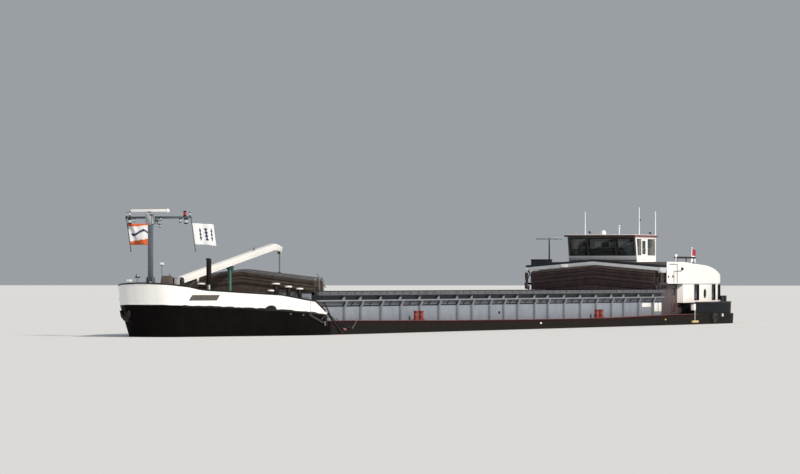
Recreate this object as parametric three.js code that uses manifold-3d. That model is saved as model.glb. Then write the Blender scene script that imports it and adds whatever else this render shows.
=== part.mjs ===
// Inland motor barge for dry cargo, at half its real size.
// Every length below is a real length in metres; MM turns it into millimetres of the model.
// x runs forward from amidships, y to port, and z up from the loaded waterline.
import * as THREE from 'three';
import { mergeVertices } from 'three/addons/utils/BufferGeometryUtils.js';
import Module from 'manifold-3d';

const wasm = await Module();
wasm.setup();

const MODEL_SCALE = 2;
const MM = 1000 / MODEL_SCALE;
const GAP = 0.3 / MM;

// Hull
const LENGTH = 79;
const BEAM = 9.2;
const DRAUGHT = 2.5;
const HALF = BEAM / 2;
const BOW = LENGTH / 2;
const KEEL = -DRAUGHT;
const BILGE = 0.35;
const COUNTER = -0.66;
const TANK_TOP = -2.0;
const BREAK = 28.1;
const FORE_DECK = 1.54;
const POOP_START = -29;
const POOP_DECK = 1.3;
const SIDE_DECK_AFT = 0.62;
const POOP_INSET = 0.14;

// Hold and coaming
const FRAME = 0.53;
const FIRST_STIFFENER = 24.4;
const BAYS = [4, 5, 5, 5, 5, 5, 4, 5, 4, 4, 5, 4, 5, 5, 5, 5, 4, 5, 5];
const COAMING = 3.86;
const COAMING_WALL = 0.16;
const COAMING_TOP = 2.1;
const HOLD_FORE = 28.0;
const HOLD_AFT = -24.5;
const RAIL = 4.12;

// Hatch covers and their gantry
const STACK = 3.94;
const FORE_STACK = { x: 27.48, length: 1.25, side: 2.77, ridge: 3.21 };
const AFT_STACK = { x: -23.72, length: 1.3, side: 3.19, ridge: 3.55 };
const GANTRY_X = -23.72;
const GANTRY_LEG = 4.25;
const WHEEL_R = 0.13;
const WHEEL_BORE = 0.0365;
const AXLE_R = 0.035;

// Foredeck: RAM_FOOT is measured from the crane's axis, RAM_EYE and NOSE_PIN from the boom's pin
const MAST_X = 38.54;
const MAST_HINGE = 2.72;
const MAST_TOP = 5.82;
const YARD_HALF = 1.72;
const YARD_X = -0.89;
const YARD_Z = 5.62;
const BOW_STAFF = { aft: 0.5, down: 1.55, radius: 0.02 };
const BOW_FLAG_FLY = THREE.MathUtils.degToRad(40);
const FLAG_THICK = 0.02;
const STERN_STAFF = { x: -37.7, y: 1.2, aft: 0.55, height: 3.3, radius: 0.03 };
const CRANE_X = 35.42;
const CRANE_FOOT = 0.16;
const BOOM_PIN = 2.64;
const BOOM_TILT = THREE.MathUtils.degToRad(8.6);
const BOOM_LENGTH = 11.3;
const BOOM_DEPTH = 0.32;
const RAM_FOOT = [-0.42, 1.95];
const RAM_EYE = [-2.0, -0.28];
const NOSE_PIN = [-12.08, -0.42];
const ROPE_DROP = 0.95;
const BOOM_REST_X = 29.43;
const WINDLASS_X = 36.9;
const BOW_EXHAUST = { x: 36.0, y: 1.85, neck: 2.45, top: 3.72 };
const BULWARK_PLATE = 0.12;

// Pairs of bollards on each side: x, y, deck they stand on, height, radius, half spread and paint
const BOLLARDS = {
  fore: { x: 33.4, y: 2.95, on: FORE_DECK, height: 0.45, radius: 0.11, spread: 0.3, paint: 'dark' },
  mid_fore: { x: 15.43, y: 4.3, height: 0.5, radius: 0.12, spread: 0.36, paint: 'red' },
  mid_aft: { x: -12.17, y: 4.3, height: 0.5, radius: 0.12, spread: 0.36, paint: 'red' },
  stern: { x: -35.6, y: 4.12, on: POOP_DECK, height: 0.42, radius: 0.1, spread: 0.3, paint: 'dark' },
};

// Hung on the plating: places, and turns in degrees
const TYRE = { x: -32.3, y: 4.55, z: 0.36, tilt: 11 };
const ANCHOR = { x: 38.93, y: -1.08, z: 0.98, turn: 61, lean: 8 };

// Accommodation
const HOUSE_HALF = 4.0;
const HOUSE_FORE = -24.9;
const HOUSE_AFT = -36.9;
const HOUSE_MID = 2.5;
const HOUSE_WIDE = -28.15;
const HOUSE_CORNER = 2.1;
const HOUSE_ROOF = 3.76;
const WALL = 0.14;
const DOOR_GAP = 0.01;
const DOOR_INSET = 0.02;
const CABIN_LEAF = { width: 0.83, height: 1.6, thick: 0.06, windowLow: 1.0, windowHigh: 1.4 };
const BRIDGE_LEAF = { width: 0.83, height: 1.26, thick: 0.05, windowLow: 0.35, windowHigh: 1.15 };
const WHEELHOUSE = { fore: -24.7, aft: -28.5, half: 2.15, floor: HOUSE_ROOF + GAP, top: 5.26 };
const SIDE_WINDOWS = [[-31.1, -30.3], [-34.3, -33.7], [-35.25, -34.85]];
const STERN_WINDOWS = [-1.6, 0, 1.6];
const ENTRANCE = { x0: -27.95, x1: -27.1, y: 3.6, z0: 0.75, z1: 2.4 };
const WHEELHOUSE_DOOR = { x0: -26.75, x1: -25.9, z0: 3.85, z1: 5.15 };
const WHEELHOUSE_PANES = { sill: 4.13, lintel: 5.16, across: [[-2.02, -0.93], [-0.83, 0.83], [0.93, 2.02]],
  sides: [[-25.8, -24.85], [-28.35, -26.85]] };
const WHIPS = [[-25.2, -1.2, 6.78], [-27.3, 1.5, 7.05], [-28.5, 2.12, 6.82]];
const SIGNAL_MAST = { x: -25.2, y: -3.5, top: 5.26, yard: 5.12, half: 0.84 };

// Under the stern
const SHAFT_Z = -1.58;
const PROP_X = -33.85;
const PROP_R = 0.75;
const HUB_FORE = 0.22;
const RUDDER_X = -35.75;
const RUDDER_Y = 0.5;
const RUDDER_SPAN = [-2.4, -0.82];
const ENGINE = { x0: -30.2, x1: -26.9, half: 0.65, top: -0.6 };
const ENGINE_ROOM = { x0: -31.2, x1: -25.4, half: 1.7, floor: -2.1, top: 0.2 };

// Bow stations: deck edge x, half breadths at deck, waterline and bilge, rail height, paint line
const BOW_STATIONS = [
  [26.0, 4.60, 4.60, 4.55, 1.03, 0.99],
  [28.1, 4.60, 4.58, 4.50, 1.03, 0.99],
  [29.6, 4.56, 4.50, 4.30, 1.66, 1.09],
  [30.6, 4.47, 4.35, 4.05, 1.74, 1.16],
  [32.3, 3.95, 3.75, 3.30, 1.97, 1.25],
  [34.2, 3.18, 2.95, 2.35, 2.06, 1.35],
  [35.6, 2.67, 2.43, 1.70, 2.13, 1.39],
  [37.1, 2.20, 1.95, 1.05, 2.20, 1.44],
  [37.6, 2.03, 1.77, 0.85, 2.25, 1.45],
  [38.2, 1.82, 1.54, 0.62, 2.36, 1.47],
  [38.8, 1.55, 1.28, 0.45, 2.42, 1.49],
  [39.2, 1.24, 0.98, 0.32, 2.47, 1.50],
  [39.4, 0.88, 0.68, 0.24, 2.50, 1.52],
  [BOW, 0.36, 0.30, 0.16, 2.53, 1.52],
];
// Stern stations: deck edge x and half breadths at deck, waterline and bilge
const STERN_STATIONS = [
  [-25.0, 4.60, 4.60, 4.55],
  [-28.0, 4.60, 4.56, 4.00],
  [-31.0, 4.60, 4.50, 2.90],
  [-33.0, 4.58, 4.50, 1.80],
  [-35.0, 4.52, 4.48, 1.00],
  [-36.5, 4.42, 4.36, 0.60],
  [-37.7, 4.10, 4.05, 0.42],
  [-38.6, 3.64, 3.58, 0.30],
  [-39.2, 2.95, 2.88, 0.22],
  [-39.4, 2.20, 2.12, 0.18],
  [-BOW, 0.80, 0.70, 0.16],
];
// Height against how far forward the stem, and how far aft the stern, reaches there
const STEM_PROFILE = [[-2.5, 36.3], [-2.0, 37.4], [-1.2, 38.2], [0, 38.8], [1.4, 39.25],
  [2.57, BOW]];
const STERN_PROFILE = [[-2.5, -31.5], [-1.6, -32.6], [-0.8, -33.4], [-0.5, -37.5], [-0.2, -39.3],
  [0, -BOW]];
// Sheer of the side deck: x and height
const SHEER = [[-25, SIDE_DECK_AFT], [-13, 0.50], [0, 0.52], [12, 0.57], [26, 0.68]];

const PAINT = {
  hull: ['#26262a', 0.6, 0.0],
  white: ['#f1f2f0', 0.45, 0.0],
  coaming: ['#97a1ab', 0.55, 0.0],
  cover: ['#3b3836', 0.7, 0.2],
  grey: ['#a9aeb4', 0.5, 0.2],
  dark: ['#2b3038', 0.55, 0.2],
  mast: ['#b4bac2', 0.5, 0.1],
  red: ['#7a2b28', 0.55, 0.0],
  brown: ['#5a4a48', 0.6, 0.0],
  green: ['#2e6a58', 0.6, 0.0],
  steel: ['#8c8f92', 0.4, 0.8],
  bronze: ['#9a7a4a', 0.35, 0.9],
  rubber: ['#1c1c1e', 0.85, 0.0],
  cloth: ['#d9d4cc', 0.9, 0.0],
};

// Value at x of a table whose rows start with x, by straight lines between its rows
function along(table, x, column = 1) {
  const rows = table[0][0] < table[table.length - 1][0] ? table : [...table].reverse();
  if (x <= rows[0][0]) return rows[0][column];
  for (let i = 1; i < rows.length; i += 1) {
    if (x <= rows[i][0]) {
      const share = (x - rows[i - 1][0]) / (rows[i][0] - rows[i - 1][0]);
      return rows[i - 1][column] + share * (rows[i][column] - rows[i - 1][column]);
    }
  }
  return rows[rows.length - 1][column];
}

// A closed geometry as a solid of the boolean library
function solid(geometry) {
  const bare = geometry.clone();
  bare.deleteAttribute('normal');
  bare.deleteAttribute('uv');
  const merged = mergeVertices(bare, 1e-3);
  const mesh = new wasm.Mesh({
    numProp: 3,
    vertProperties: new Float32Array(merged.attributes.position.array),
    triVerts: new Uint32Array(merged.index.array),
  });
  return new wasm.Manifold(mesh);
}

function geometryOf(manifold) {
  const mesh = manifold.getMesh();
  const geometry = new THREE.BufferGeometry();
  geometry.setAttribute('position', new THREE.BufferAttribute(new Float32Array(mesh.vertProperties), 3));
  geometry.setIndex(new THREE.BufferAttribute(new Uint32Array(mesh.triVerts), 1));
  geometry.computeVertexNormals();
  return geometry;
}

function join(...parts) {
  return parts.reduce((sum, part) => sum.add(part));
}

// Block between two x, two y and two z
function block(x0, x1, y0, y1, z0, z1) {
  const box = new THREE.BoxGeometry((x1 - x0) * MM, (y1 - y0) * MM, (z1 - z0) * MM);
  box.translate(((x0 + x1) / 2) * MM, ((y0 + y1) / 2) * MM, ((z0 + z1) / 2) * MM);
  return solid(box);
}

function outline(points) {
  return new THREE.Shape(points.map(([a, b]) => new THREE.Vector2(a * MM, b * MM)));
}

// Outline in y and z drawn out along x
function sectionAlongX(points, x0, x1) {
  const bar = new THREE.ExtrudeGeometry(outline(points), { depth: (x1 - x0) * MM, bevelEnabled: false });
  bar.rotateX(Math.PI / 2);
  bar.rotateZ(Math.PI / 2);
  bar.translate(x0 * MM, 0, 0);
  return solid(bar);
}

// Outline in x and z drawn out along y
function profileAcross(points, y0, y1) {
  const bar = new THREE.ExtrudeGeometry(outline(points), { depth: (y1 - y0) * MM, bevelEnabled: false });
  bar.rotateX(Math.PI / 2);
  bar.translate(0, y1 * MM, 0);
  return solid(bar);
}

// Outline in x and y drawn up along z
function plan(points, z0, z1) {
  const slab = new THREE.ExtrudeGeometry(outline(points), { depth: (z1 - z0) * MM, bevelEnabled: false });
  slab.translate(0, 0, z0 * MM);
  return solid(slab);
}

// Round bar between two points
function rod(from, to, radius, sides = 12, endRadius = radius) {
  const a = new THREE.Vector3(...from).multiplyScalar(MM);
  const b = new THREE.Vector3(...to).multiplyScalar(MM);
  const bar = new THREE.CylinderGeometry(endRadius * MM, radius * MM, a.distanceTo(b), sides);
  const heading = b.clone().sub(a).normalize();
  const turn = new THREE.Quaternion().setFromUnitVectors(new THREE.Vector3(0, 1, 0), heading);
  bar.applyQuaternion(turn);
  bar.translate(...a.add(b).multiplyScalar(0.5).toArray());
  return solid(bar);
}

// Ring or turned shape about the z axis from radius and height pairs
function turned(points, sides = 16) {
  return solid(new THREE.LatheGeometry(points.map(([r, z]) => new THREE.Vector2(r * MM, z * MM)), sides)
    .rotateX(Math.PI / 2));
}

// Skin through rings of port side points, closed by their mirror images and by both end rings
function loft(rings) {
  const count = rings[0].length;
  const vertices = [];
  for (const ring of rings) {
    for (const [x, y, z] of ring) vertices.push(x * MM, y * MM, z * MM);
    for (const [x, y, z] of ring) vertices.push(x * MM, -y * MM, z * MM);
  }
  const at = (i, side, j) => i * 2 * count + side * count + j;
  const triangles = [];
  const quad = (a, b, c, d) => triangles.push(a, b, c, a, c, d);
  const last = rings.length - 1;
  for (let i = 0; i < last; i += 1) {
    for (let j = 0; j < count - 1; j += 1) {
      quad(at(i, 0, j), at(i, 0, j + 1), at(i + 1, 0, j + 1), at(i + 1, 0, j));
      quad(at(i + 1, 1, j), at(i + 1, 1, j + 1), at(i, 1, j + 1), at(i, 1, j));
    }
    quad(at(i, 0, count - 1), at(i, 1, count - 1), at(i + 1, 1, count - 1), at(i + 1, 0, count - 1));
    quad(at(i + 1, 0, 0), at(i + 1, 1, 0), at(i, 1, 0), at(i, 0, 0));
  }
  for (let j = 0; j < count - 1; j += 1) {
    quad(at(0, 0, j), at(0, 1, j), at(0, 1, j + 1), at(0, 0, j + 1));
    quad(at(last, 0, j + 1), at(last, 1, j + 1), at(last, 1, j), at(last, 0, j));
  }
  const mesh = new wasm.Mesh({
    numProp: 3,
    vertProperties: new Float32Array(vertices),
    triVerts: new Uint32Array(triangles),
  });
  return new wasm.Manifold(mesh);
}

// Half breadth at a height, between the bilge, waterline and deck values of one station
function halfBreadth([, deck, water, bilge], z, deckHeight) {
  const low = KEEL + BILGE;
  if (z <= low) return bilge;
  if (z <= 0) return bilge + ((water - bilge) * (z - low)) / -low;
  return water + (deck - water) * Math.min(z / deckHeight, 1);
}

// One end of the hull at a list of heights; the stem and stern profiles rake its stations
function hullEnd(stations, profile, deckHeight, heightsAt, inset = 0) {
  const root = stations[0][0];
  const tip = stations[stations.length - 1][0];
  return stations.map((station) => heightsAt(station).map((height) => {
    const z = Math.max(height, KEEL);
    const share = (along(profile, z) - root) / (tip - root);
    const reach = station[0] - Math.sign(tip) * inset * ((station[0] - root) / (tip - root));
    const y = Math.max(halfBreadth(station, z, deckHeight) - inset, 0.06);
    const flat = height < KEEL ? Math.min(BILGE, y / 2) : 0;
    return [root + (reach - root) * share, y - flat, z];
  }));
}

const BELOW_KEEL = KEEL - 1;
const UNDERBODY = [BELOW_KEEL, KEEL + 0.1, KEEL + BILGE, -1.2, -0.5, 0];

function hull() {
  const bow = hullEnd(BOW_STATIONS, STEM_PROFILE, 1.5, () => [...UNDERBODY, along(SHEER, BREAK)]);
  const stern = hullEnd(STERN_STATIONS, STERN_PROFILE, 1, () => [...UNDERBODY, SIDE_DECK_AFT]);
  const waist = SHEER.slice(1, 4).map(([x, z]) => (
    [...UNDERBODY, z].map((height) => [x, HALF - (height < KEEL ? BILGE : 0), Math.max(height, KEEL)])));
  const body = loft([...stern.reverse(), ...waist, ...bow]);
  const forecastle = loft(hullEnd(BOW_STATIONS, STEM_PROFILE, 1.5, (station) => (
    [0.4, station[5] - GAP]))).subtract(block(20, BREAK, -6, 6, -3, 4));
  const hold = block(HOLD_AFT + COAMING_WALL, HOLD_FORE - COAMING_WALL, -COAMING + COAMING_WALL,
    COAMING - COAMING_WALL, TANK_TOP, 3);
  const counterCut = block(-41, -33.2, -6, 6, -3, COUNTER);
  const { x0, x1, half, floor, top } = ENGINE_ROOM;
  const engineRoom = block(x0, x1, -half, half, floor, top);
  const engineHatch = block(-28.3, -26, -1.2, 1.2, 0.1, 1.5);
  const sternTube = rod([-31.8, 0, SHAFT_Z], [PROP_X + HUB_FORE + GAP, 0, SHAFT_Z], 0.13);
  return join(body, forecastle).subtract(join(hold, counterCut, engineRoom, engineHatch)).add(sternTube);
}

// White upper bow: solid up to the foredeck, and a bulwark plate above it
function bowBulwark() {
  const shell = loft(hullEnd(BOW_STATIONS, STEM_PROFILE, 1.5, (station) => (
    [station[5], station[5] + 0.5 * (station[4] - station[5]), station[4]])));
  const inside = loft(hullEnd(BOW_STATIONS, STEM_PROFILE, 1.5, () => [FORE_DECK, 2.1, 3], BULWARK_PLATE));
  const deck = loft(hullEnd(BOW_STATIONS, STEM_PROFILE, 1.5, (station) => [station[5], FORE_DECK],
    BULWARK_PLATE / 2));
  const aft = block(20, BREAK, -6, 6, -3, 4);
  return shell.subtract(inside).add(deck).subtract(aft);
}

function poopDeck() {
  const heights = [SIDE_DECK_AFT + GAP, POOP_DECK];
  return loft(hullEnd(STERN_STATIONS, STERN_PROFILE, 1, () => heights, POOP_INSET).reverse())
    .subtract(block(POOP_START, 0, -6, 6, -3, 4));
}

function stiffenerStations() {
  const xs = [FIRST_STIFFENER];
  for (const bay of BAYS) xs.push(xs[xs.length - 1] - bay * FRAME);
  return xs;
}

function holdCoaming() {
  const stations = [HOLD_AFT, ...SHEER.slice(1).map(([x]) => x), HOLD_FORE];
  const foot = stations.map((x) => [x, along(SHEER, x) + GAP]);
  const side = [...foot, [HOLD_FORE, COAMING_TOP], [HOLD_AFT, COAMING_TOP]];
  const inner = COAMING - COAMING_WALL;
  const ends = [HOLD_AFT, HOLD_FORE - COAMING_WALL].map((x) => {
    const deck = Math.max(along(SHEER, x), along(SHEER, x + COAMING_WALL));
    return block(x, x + COAMING_WALL, -COAMING, COAMING, deck + GAP, COAMING_TOP);
  });
  const caps = [-1, 1].map((s) => block(HOLD_AFT, HOLD_FORE, Math.min(s * inner, s * RAIL),
    Math.max(s * inner, s * RAIL), COAMING_TOP - 0.1, COAMING_TOP));
  const ribs = stiffenerStations().flatMap((x) => [-1, 1].map((s) => {
    const deck = along(SHEER, x) + GAP;
    const rib = [[s * (COAMING - 0.02), deck], [s * (COAMING + 0.14), deck],
      [s * (COAMING + 0.05), COAMING_TOP - 0.45], [s * RAIL, COAMING_TOP - 0.05],
      [s * (COAMING - 0.02), COAMING_TOP - 0.05]];
    return sectionAlongX(s > 0 ? rib : rib.reverse(), x - 0.05, x + 0.05);
  }));
  const walls = [profileAcross(side, inner, COAMING), profileAcross(side, -COAMING, -inner)];
  return join(...walls, ...ends, ...caps, ...ribs);
}

// Pile of gabled covers lying across the coaming rails
function hatchStack({ x, length, side, ridge }) {
  const foot = COAMING_TOP + GAP;
  const pile = [[-STACK, foot], [STACK, foot], [STACK, side], [0, ridge], [-STACK, side]];
  return sectionAlongX(pile, x - length / 2, x + length / 2);
}

// Portal over the covers: a gabled beam on two pairs of legs that end in wheel forks
function hatchGantry() {
  const { side, ridge } = AFT_STACK;
  const low = 0.04;
  const high = 0.3;
  const beam = [[-GANTRY_LEG, side + low], [0, ridge + low], [GANTRY_LEG, side + low],
    [GANTRY_LEG, side + high], [0, ridge + high], [-GANTRY_LEG, side + high]];
  const parts = [-0.5, 0.5].map((dx) => sectionAlongX(beam, dx - 0.1, dx + 0.1));
  for (const s of [-1, 1]) {
    const inner = s * (GANTRY_LEG - 0.12);
    const outer = s * (GANTRY_LEG + 0.02);
    const y0 = Math.min(inner, outer);
    const y1 = Math.max(inner, outer);
    parts.push(block(-0.6, 0.6, y0, y1, side - 0.1, side + high));
    for (const dx of [-0.5, 0.5]) {
      parts.push(block(dx - 0.05, dx + 0.05, y0, y1, COAMING_TOP + 0.32, side));
    }
    parts.push(block(-0.75, 0.75, y0, y1, COAMING_TOP + 0.3, COAMING_TOP + 0.42));
    for (const dx of [-0.62, 0.62]) {
      parts.push(block(dx - 0.06, dx + 0.06, y0, y1, COAMING_TOP + 0.02, COAMING_TOP + 0.35));
      parts.push(rod([dx, s * (GANTRY_LEG - 0.26), COAMING_TOP + WHEEL_R + GAP],
        [dx, s * (GANTRY_LEG - 0.1), COAMING_TOP + WHEEL_R + GAP], AXLE_R));
    }
  }
  return join(...parts);
}

// Wheel with a bore that turns on the gantry's stub axle
function gantryWheel() {
  const width = 0.08;
  const rim = turned([[WHEEL_BORE, -width / 2], [WHEEL_R, -width / 2], [WHEEL_R, width / 2],
    [WHEEL_BORE, width / 2], [WHEEL_BORE, -width / 2]], 24);
  return rim.rotate([90, 0, 0]);
}

// Fixed post that carries the mast hinge between two cheeks with stub pins
function mastPost() {
  const parts = [block(-0.16, 0.16, -0.17, 0.17, FORE_DECK + GAP, MAST_HINGE - 0.32)];
  for (const s of [-1, 1]) {
    const y0 = s > 0 ? 0.13 : -0.17;
    parts.push(block(-0.16, 0.16, y0, y0 + 0.04, MAST_HINGE - 0.4, MAST_HINGE + 0.12));
    parts.push(rod([0, s * (0.095 + GAP), MAST_HINGE], [0, s * 0.15, MAST_HINGE], 0.035));
  }
  return join(...parts);
}

// Folding mast about its hinge: column, head bracket, yard behind the head and flag staffs
function foremast() {
  const top = MAST_TOP - MAST_HINGE;
  const yardZ = YARD_Z - MAST_HINGE;
  const head = [[-0.1, top - 0.55], [0.1, top - 0.55], [0.42, top - 0.02], [0.42, top], [-0.1, top]];
  const arm = [[-0.05, yardZ - 0.45], [0.05, yardZ - 0.45], [YARD_X + 0.05, yardZ + 0.04],
    [YARD_X - 0.06, yardZ + 0.04], [YARD_X - 0.06, yardZ - 0.04], [YARD_X, yardZ - 0.06]];
  const parts = [
    block(-0.1, 0.1, -0.095, 0.095, -0.12, top),
    profileAcross(head, -0.07, 0.07),
    profileAcross(arm, -0.05, 0.05),
    block(YARD_X - 0.06, YARD_X + 0.06, -YARD_HALF, YARD_HALF, yardZ - 0.05, yardZ + 0.05),
  ];
  for (const s of [-1, 1]) {
    const y = s * (YARD_HALF - 0.04);
    const tip = [YARD_X - BOW_STAFF.aft, y, yardZ - BOW_STAFF.down];
    parts.push(rod([YARD_X, y, yardZ], tip, BOW_STAFF.radius, 8));
  }
  return join(...parts);
}

function radarScanner() {
  const foot = MAST_TOP + GAP;
  const low = MAST_TOP + 0.05;
  return join(rod([0, 0, foot], [0, 0, low + 0.02], 0.07), block(-0.06, 0.06, -0.95, 0.95, low, low + 0.1));
}

function craneBase() {
  const foot = FORE_DECK + GAP;
  const top = FORE_DECK + CRANE_FOOT;
  return turned([[0, foot], [0.5, foot], [0.5, FORE_DECK + 0.08], [0.38, top], [0, top]], 20);
}

// Turning column with the fork for the boom and the lugs for the luffing ram
function craneColumn() {
  const foot = FORE_DECK + CRANE_FOOT + GAP;
  const [eyeX, eyeZ] = RAM_FOOT;
  const parts = [rod([0, 0, foot], [0, 0, BOOM_PIN - 0.35], 0.26, 16)];
  for (const s of [-1, 1]) {
    const y0 = s > 0 ? 0.17 : -0.23;
    parts.push(block(-0.2, 0.2, y0, y0 + 0.06, BOOM_PIN - 0.5, BOOM_PIN + 0.16));
    parts.push(rod([0, s * (0.13 + GAP), BOOM_PIN], [0, s * 0.2, BOOM_PIN], 0.05));
    const lug = s > 0 ? 0.1 : -0.14;
    parts.push(block(eyeX - 0.09, -0.15, lug, lug + 0.04, eyeZ - 0.1, eyeZ + 0.1));
    parts.push(rod([eyeX, s * (0.07 + GAP), eyeZ], [eyeX, s * 0.12, eyeZ], 0.035));
  }
  return join(...parts);
}

// Boom along -x of its own frame, with the ram lugs under it and the bent nose
function craneBoom() {
  const d = BOOM_DEPTH / 2;
  const side = [[0.2, -d], [0.2, d], [-BOOM_LENGTH, d], [-BOOM_LENGTH - 0.95, -0.16],
    [-BOOM_LENGTH - 0.8, -0.34], [-BOOM_LENGTH + 0.1, -d]];
  const [eyeX, eyeZ] = RAM_EYE;
  const [noseX, noseZ] = NOSE_PIN;
  const parts = [profileAcross(side, -0.13, 0.13)];
  for (const s of [-1, 1]) {
    const lug = s > 0 ? 0.07 : -0.11;
    parts.push(block(eyeX - 0.1, eyeX + 0.1, lug, lug + 0.04, eyeZ - 0.08, -d + 0.02));
    parts.push(rod([eyeX, s * (0.045 + GAP), eyeZ], [eyeX, s * 0.09, eyeZ], 0.03));
    parts.push(block(noseX - 0.07, noseX + 0.07, lug, lug + 0.04, noseZ - 0.07, -0.2));
    parts.push(rod([noseX, s * (0.035 + GAP), noseZ], [noseX, s * 0.09, noseZ], 0.03));
  }
  return join(...parts);
}

// Where a point of the boom is when the boom is stowed, from the crane's own axis
function stowed([a, b]) {
  return [a * Math.cos(BOOM_TILT) + b * Math.sin(BOOM_TILT),
    BOOM_PIN - a * Math.sin(BOOM_TILT) + b * Math.cos(BOOM_TILT)];
}

const RAM_EYE_STOWED = stowed(RAM_EYE);
const NOSE_PIN_STOWED = stowed(NOSE_PIN);
const RAM_DX = RAM_EYE_STOWED[0] - RAM_FOOT[0];
const RAM_DZ = RAM_EYE_STOWED[1] - RAM_FOOT[1];
const RAM_LENGTH = Math.hypot(RAM_DX, RAM_DZ);
const RAM_ANGLE = Math.atan2(RAM_DZ, -RAM_DX);
const BARREL_LENGTH = RAM_LENGTH - 0.2;

// Barrel along -x of its own frame, open at its far end for the rod
function luffingBarrel() {
  const tube = rod([-0.06, 0, 0], [-BARREL_LENGTH, 0, 0], 0.1, 16);
  const bore = rod([-0.25, 0, 0], [-BARREL_LENGTH - 0.05, 0, 0], 0.06, 16);
  return join(tube.subtract(bore), rod([0, -0.06, 0], [0, 0.06, 0], 0.09, 16));
}

function luffingRod() {
  return join(rod([-0.35, 0, 0], [-RAM_LENGTH, 0, 0], 0.045, 12),
    rod([-RAM_LENGTH, -0.04, 0], [-RAM_LENGTH, 0.04, 0], 0.08, 16));
}

// Eye on the nose pin, wire rope, swivel block and hook
function craneHook() {
  const eye = rod([0, -0.035, 0], [0, 0.035, 0], 0.06, 16);
  const rope = rod([0, 0, -0.04], [0, 0, -ROPE_DROP], 0.025, 8);
  const swivel = block(-0.08, 0.08, -0.05, 0.05, -ROPE_DROP - 0.2, -ROPE_DROP);
  return join(eye, rope, swivel, rod([0, 0, -ROPE_DROP - 0.35], [0, 0, -ROPE_DROP - 0.15], 0.05, 8));
}

function boomRest() {
  const x = BOOM_REST_X;
  const axis = BOOM_PIN + (CRANE_X - x) * Math.tan(BOOM_TILT);
  const under = axis - BOOM_DEPTH / 2 / Math.cos(BOOM_TILT) - 0.03;
  const post = rod([x, 0, FORE_DECK + GAP], [x, 0, under - 0.12], 0.07);
  return join(post, block(x - 0.08, x + 0.08, -0.18, 0.18, under - 0.14, under));
}

function exhaustPipe() {
  const { x, y, neck, top } = BOW_EXHAUST;
  return join(rod([x, y, FORE_DECK + GAP], [x, y, neck + 0.05], 0.085),
    rod([x, y, neck], [x, y, top], 0.12));
}

function anchorWindlass() {
  const x = WINDLASS_X;
  const z = FORE_DECK;
  return join(block(x - 0.5, x + 0.5, -0.7, 0.7, z + GAP, z + 0.12),
    block(x - 0.3, x + 0.3, -0.4, 0.4, z + 0.1, z + 1.36),
    rod([x, -0.85, z + 0.45], [x, 0.85, z + 0.45], 0.28, 16));
}

// Pair of posts on a base plate, along the ship's side
function bollards({ x, y, on, height, radius, spread }) {
  const deck = on ?? along(SHEER, x + spread + 2 * radius);
  const reach = spread + radius * 1.6;
  const wide = radius * 1.3;
  const parts = [block(x - reach, x + reach, y - wide, y + wide, deck + GAP, deck + 0.05)];
  for (const dx of [-spread, spread]) {
    parts.push(rod([x + dx, y, deck + 0.02], [x + dx, y, deck + height], radius, 12));
    parts.push(rod([x + dx, y, deck + height - 0.05], [x + dx, y, deck + height], radius * 1.25, 12));
  }
  return join(...parts);
}

// Piece that bears on the plating, trimmed to it along the plating's outward direction
function bearingOn(carrier, shape, [nx, ny]) {
  return [-GAP, 0, GAP].reduce((piece, dz) => (
    piece.subtract(carrier.translate([nx * GAP * MM, ny * GAP * MM, dz * MM]))), shape);
}

// Stockless anchor with its flukes up against the bow and its shank in the hawse pocket
function anchor() {
  const crown = [[-0.36, 0.3], [-0.3, -0.06], [-0.12, -0.2], [0.12, -0.2], [0.3, -0.06], [0.36, 0.3],
    [0.24, 0.24], [0.14, 0.02], [-0.14, 0.02], [-0.24, 0.24]];
  return join(profileAcross(crown.reverse(), -0.1, 0.1), block(-0.06, 0.06, -0.06, 0.06, -0.1, 0.5));
}

// House plan with rounded after corners: half width, fore end and after end
function housePlan(half, fore, aft, radius) {
  const points = [[fore, -half], [fore, half]];
  for (let i = 0; i <= 5; i += 1) {
    const turn = (i / 5) * (Math.PI / 2);
    points.push([aft + radius - radius * Math.sin(turn), half - radius + radius * Math.cos(turn)]);
  }
  for (let i = 5; i >= 0; i -= 1) {
    const turn = (i / 5) * (Math.PI / 2);
    points.push([aft + radius - radius * Math.sin(turn), -half + radius - radius * Math.cos(turn)]);
  }
  return points.reverse();
}

function deckhouseLower() {
  const top = HOUSE_MID - GAP;
  const aftFoot = POOP_DECK + GAP;
  const foreFoot = SIDE_DECK_AFT + GAP;
  const aftPlan = housePlan(HOUSE_HALF, HOUSE_WIDE, HOUSE_AFT, HOUSE_CORNER);
  const aftRoom = housePlan(HOUSE_HALF - WALL, HOUSE_WIDE - WALL, HOUSE_AFT + WALL, HOUSE_CORNER - 0.1);
  const wide = ENTRANCE.y - WALL;
  const outer = join(plan(aftPlan, aftFoot, top),
    block(POOP_START + GAP, HOUSE_FORE, -ENTRANCE.y, ENTRANCE.y, foreFoot, top));
  const inner = join(plan(aftRoom, aftFoot - 0.1, top + 0.1),
    block(POOP_START + WALL, HOUSE_FORE - WALL, -wide, wide, foreFoot - 0.1, top + 0.1),
    block(-30, -28, -wide, wide, aftFoot - 0.1, top + 0.1));
  const windows = SIDE_WINDOWS.map(([x0, x1]) => block(x0, x1, -5, 5, 1.5, 2.36));
  const sternWindows = STERN_WINDOWS.map((y) => (
    block(HOUSE_AFT - 1, HOUSE_AFT + 1, y - 0.35, y + 0.35, 1.6, 2.3)));
  const doors = block(ENTRANCE.x0, ENTRANCE.x1, -5, 5, ENTRANCE.z0, ENTRANCE.z1);
  return outer.subtract(join(inner, ...windows, ...sternWindows, doors));
}

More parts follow.
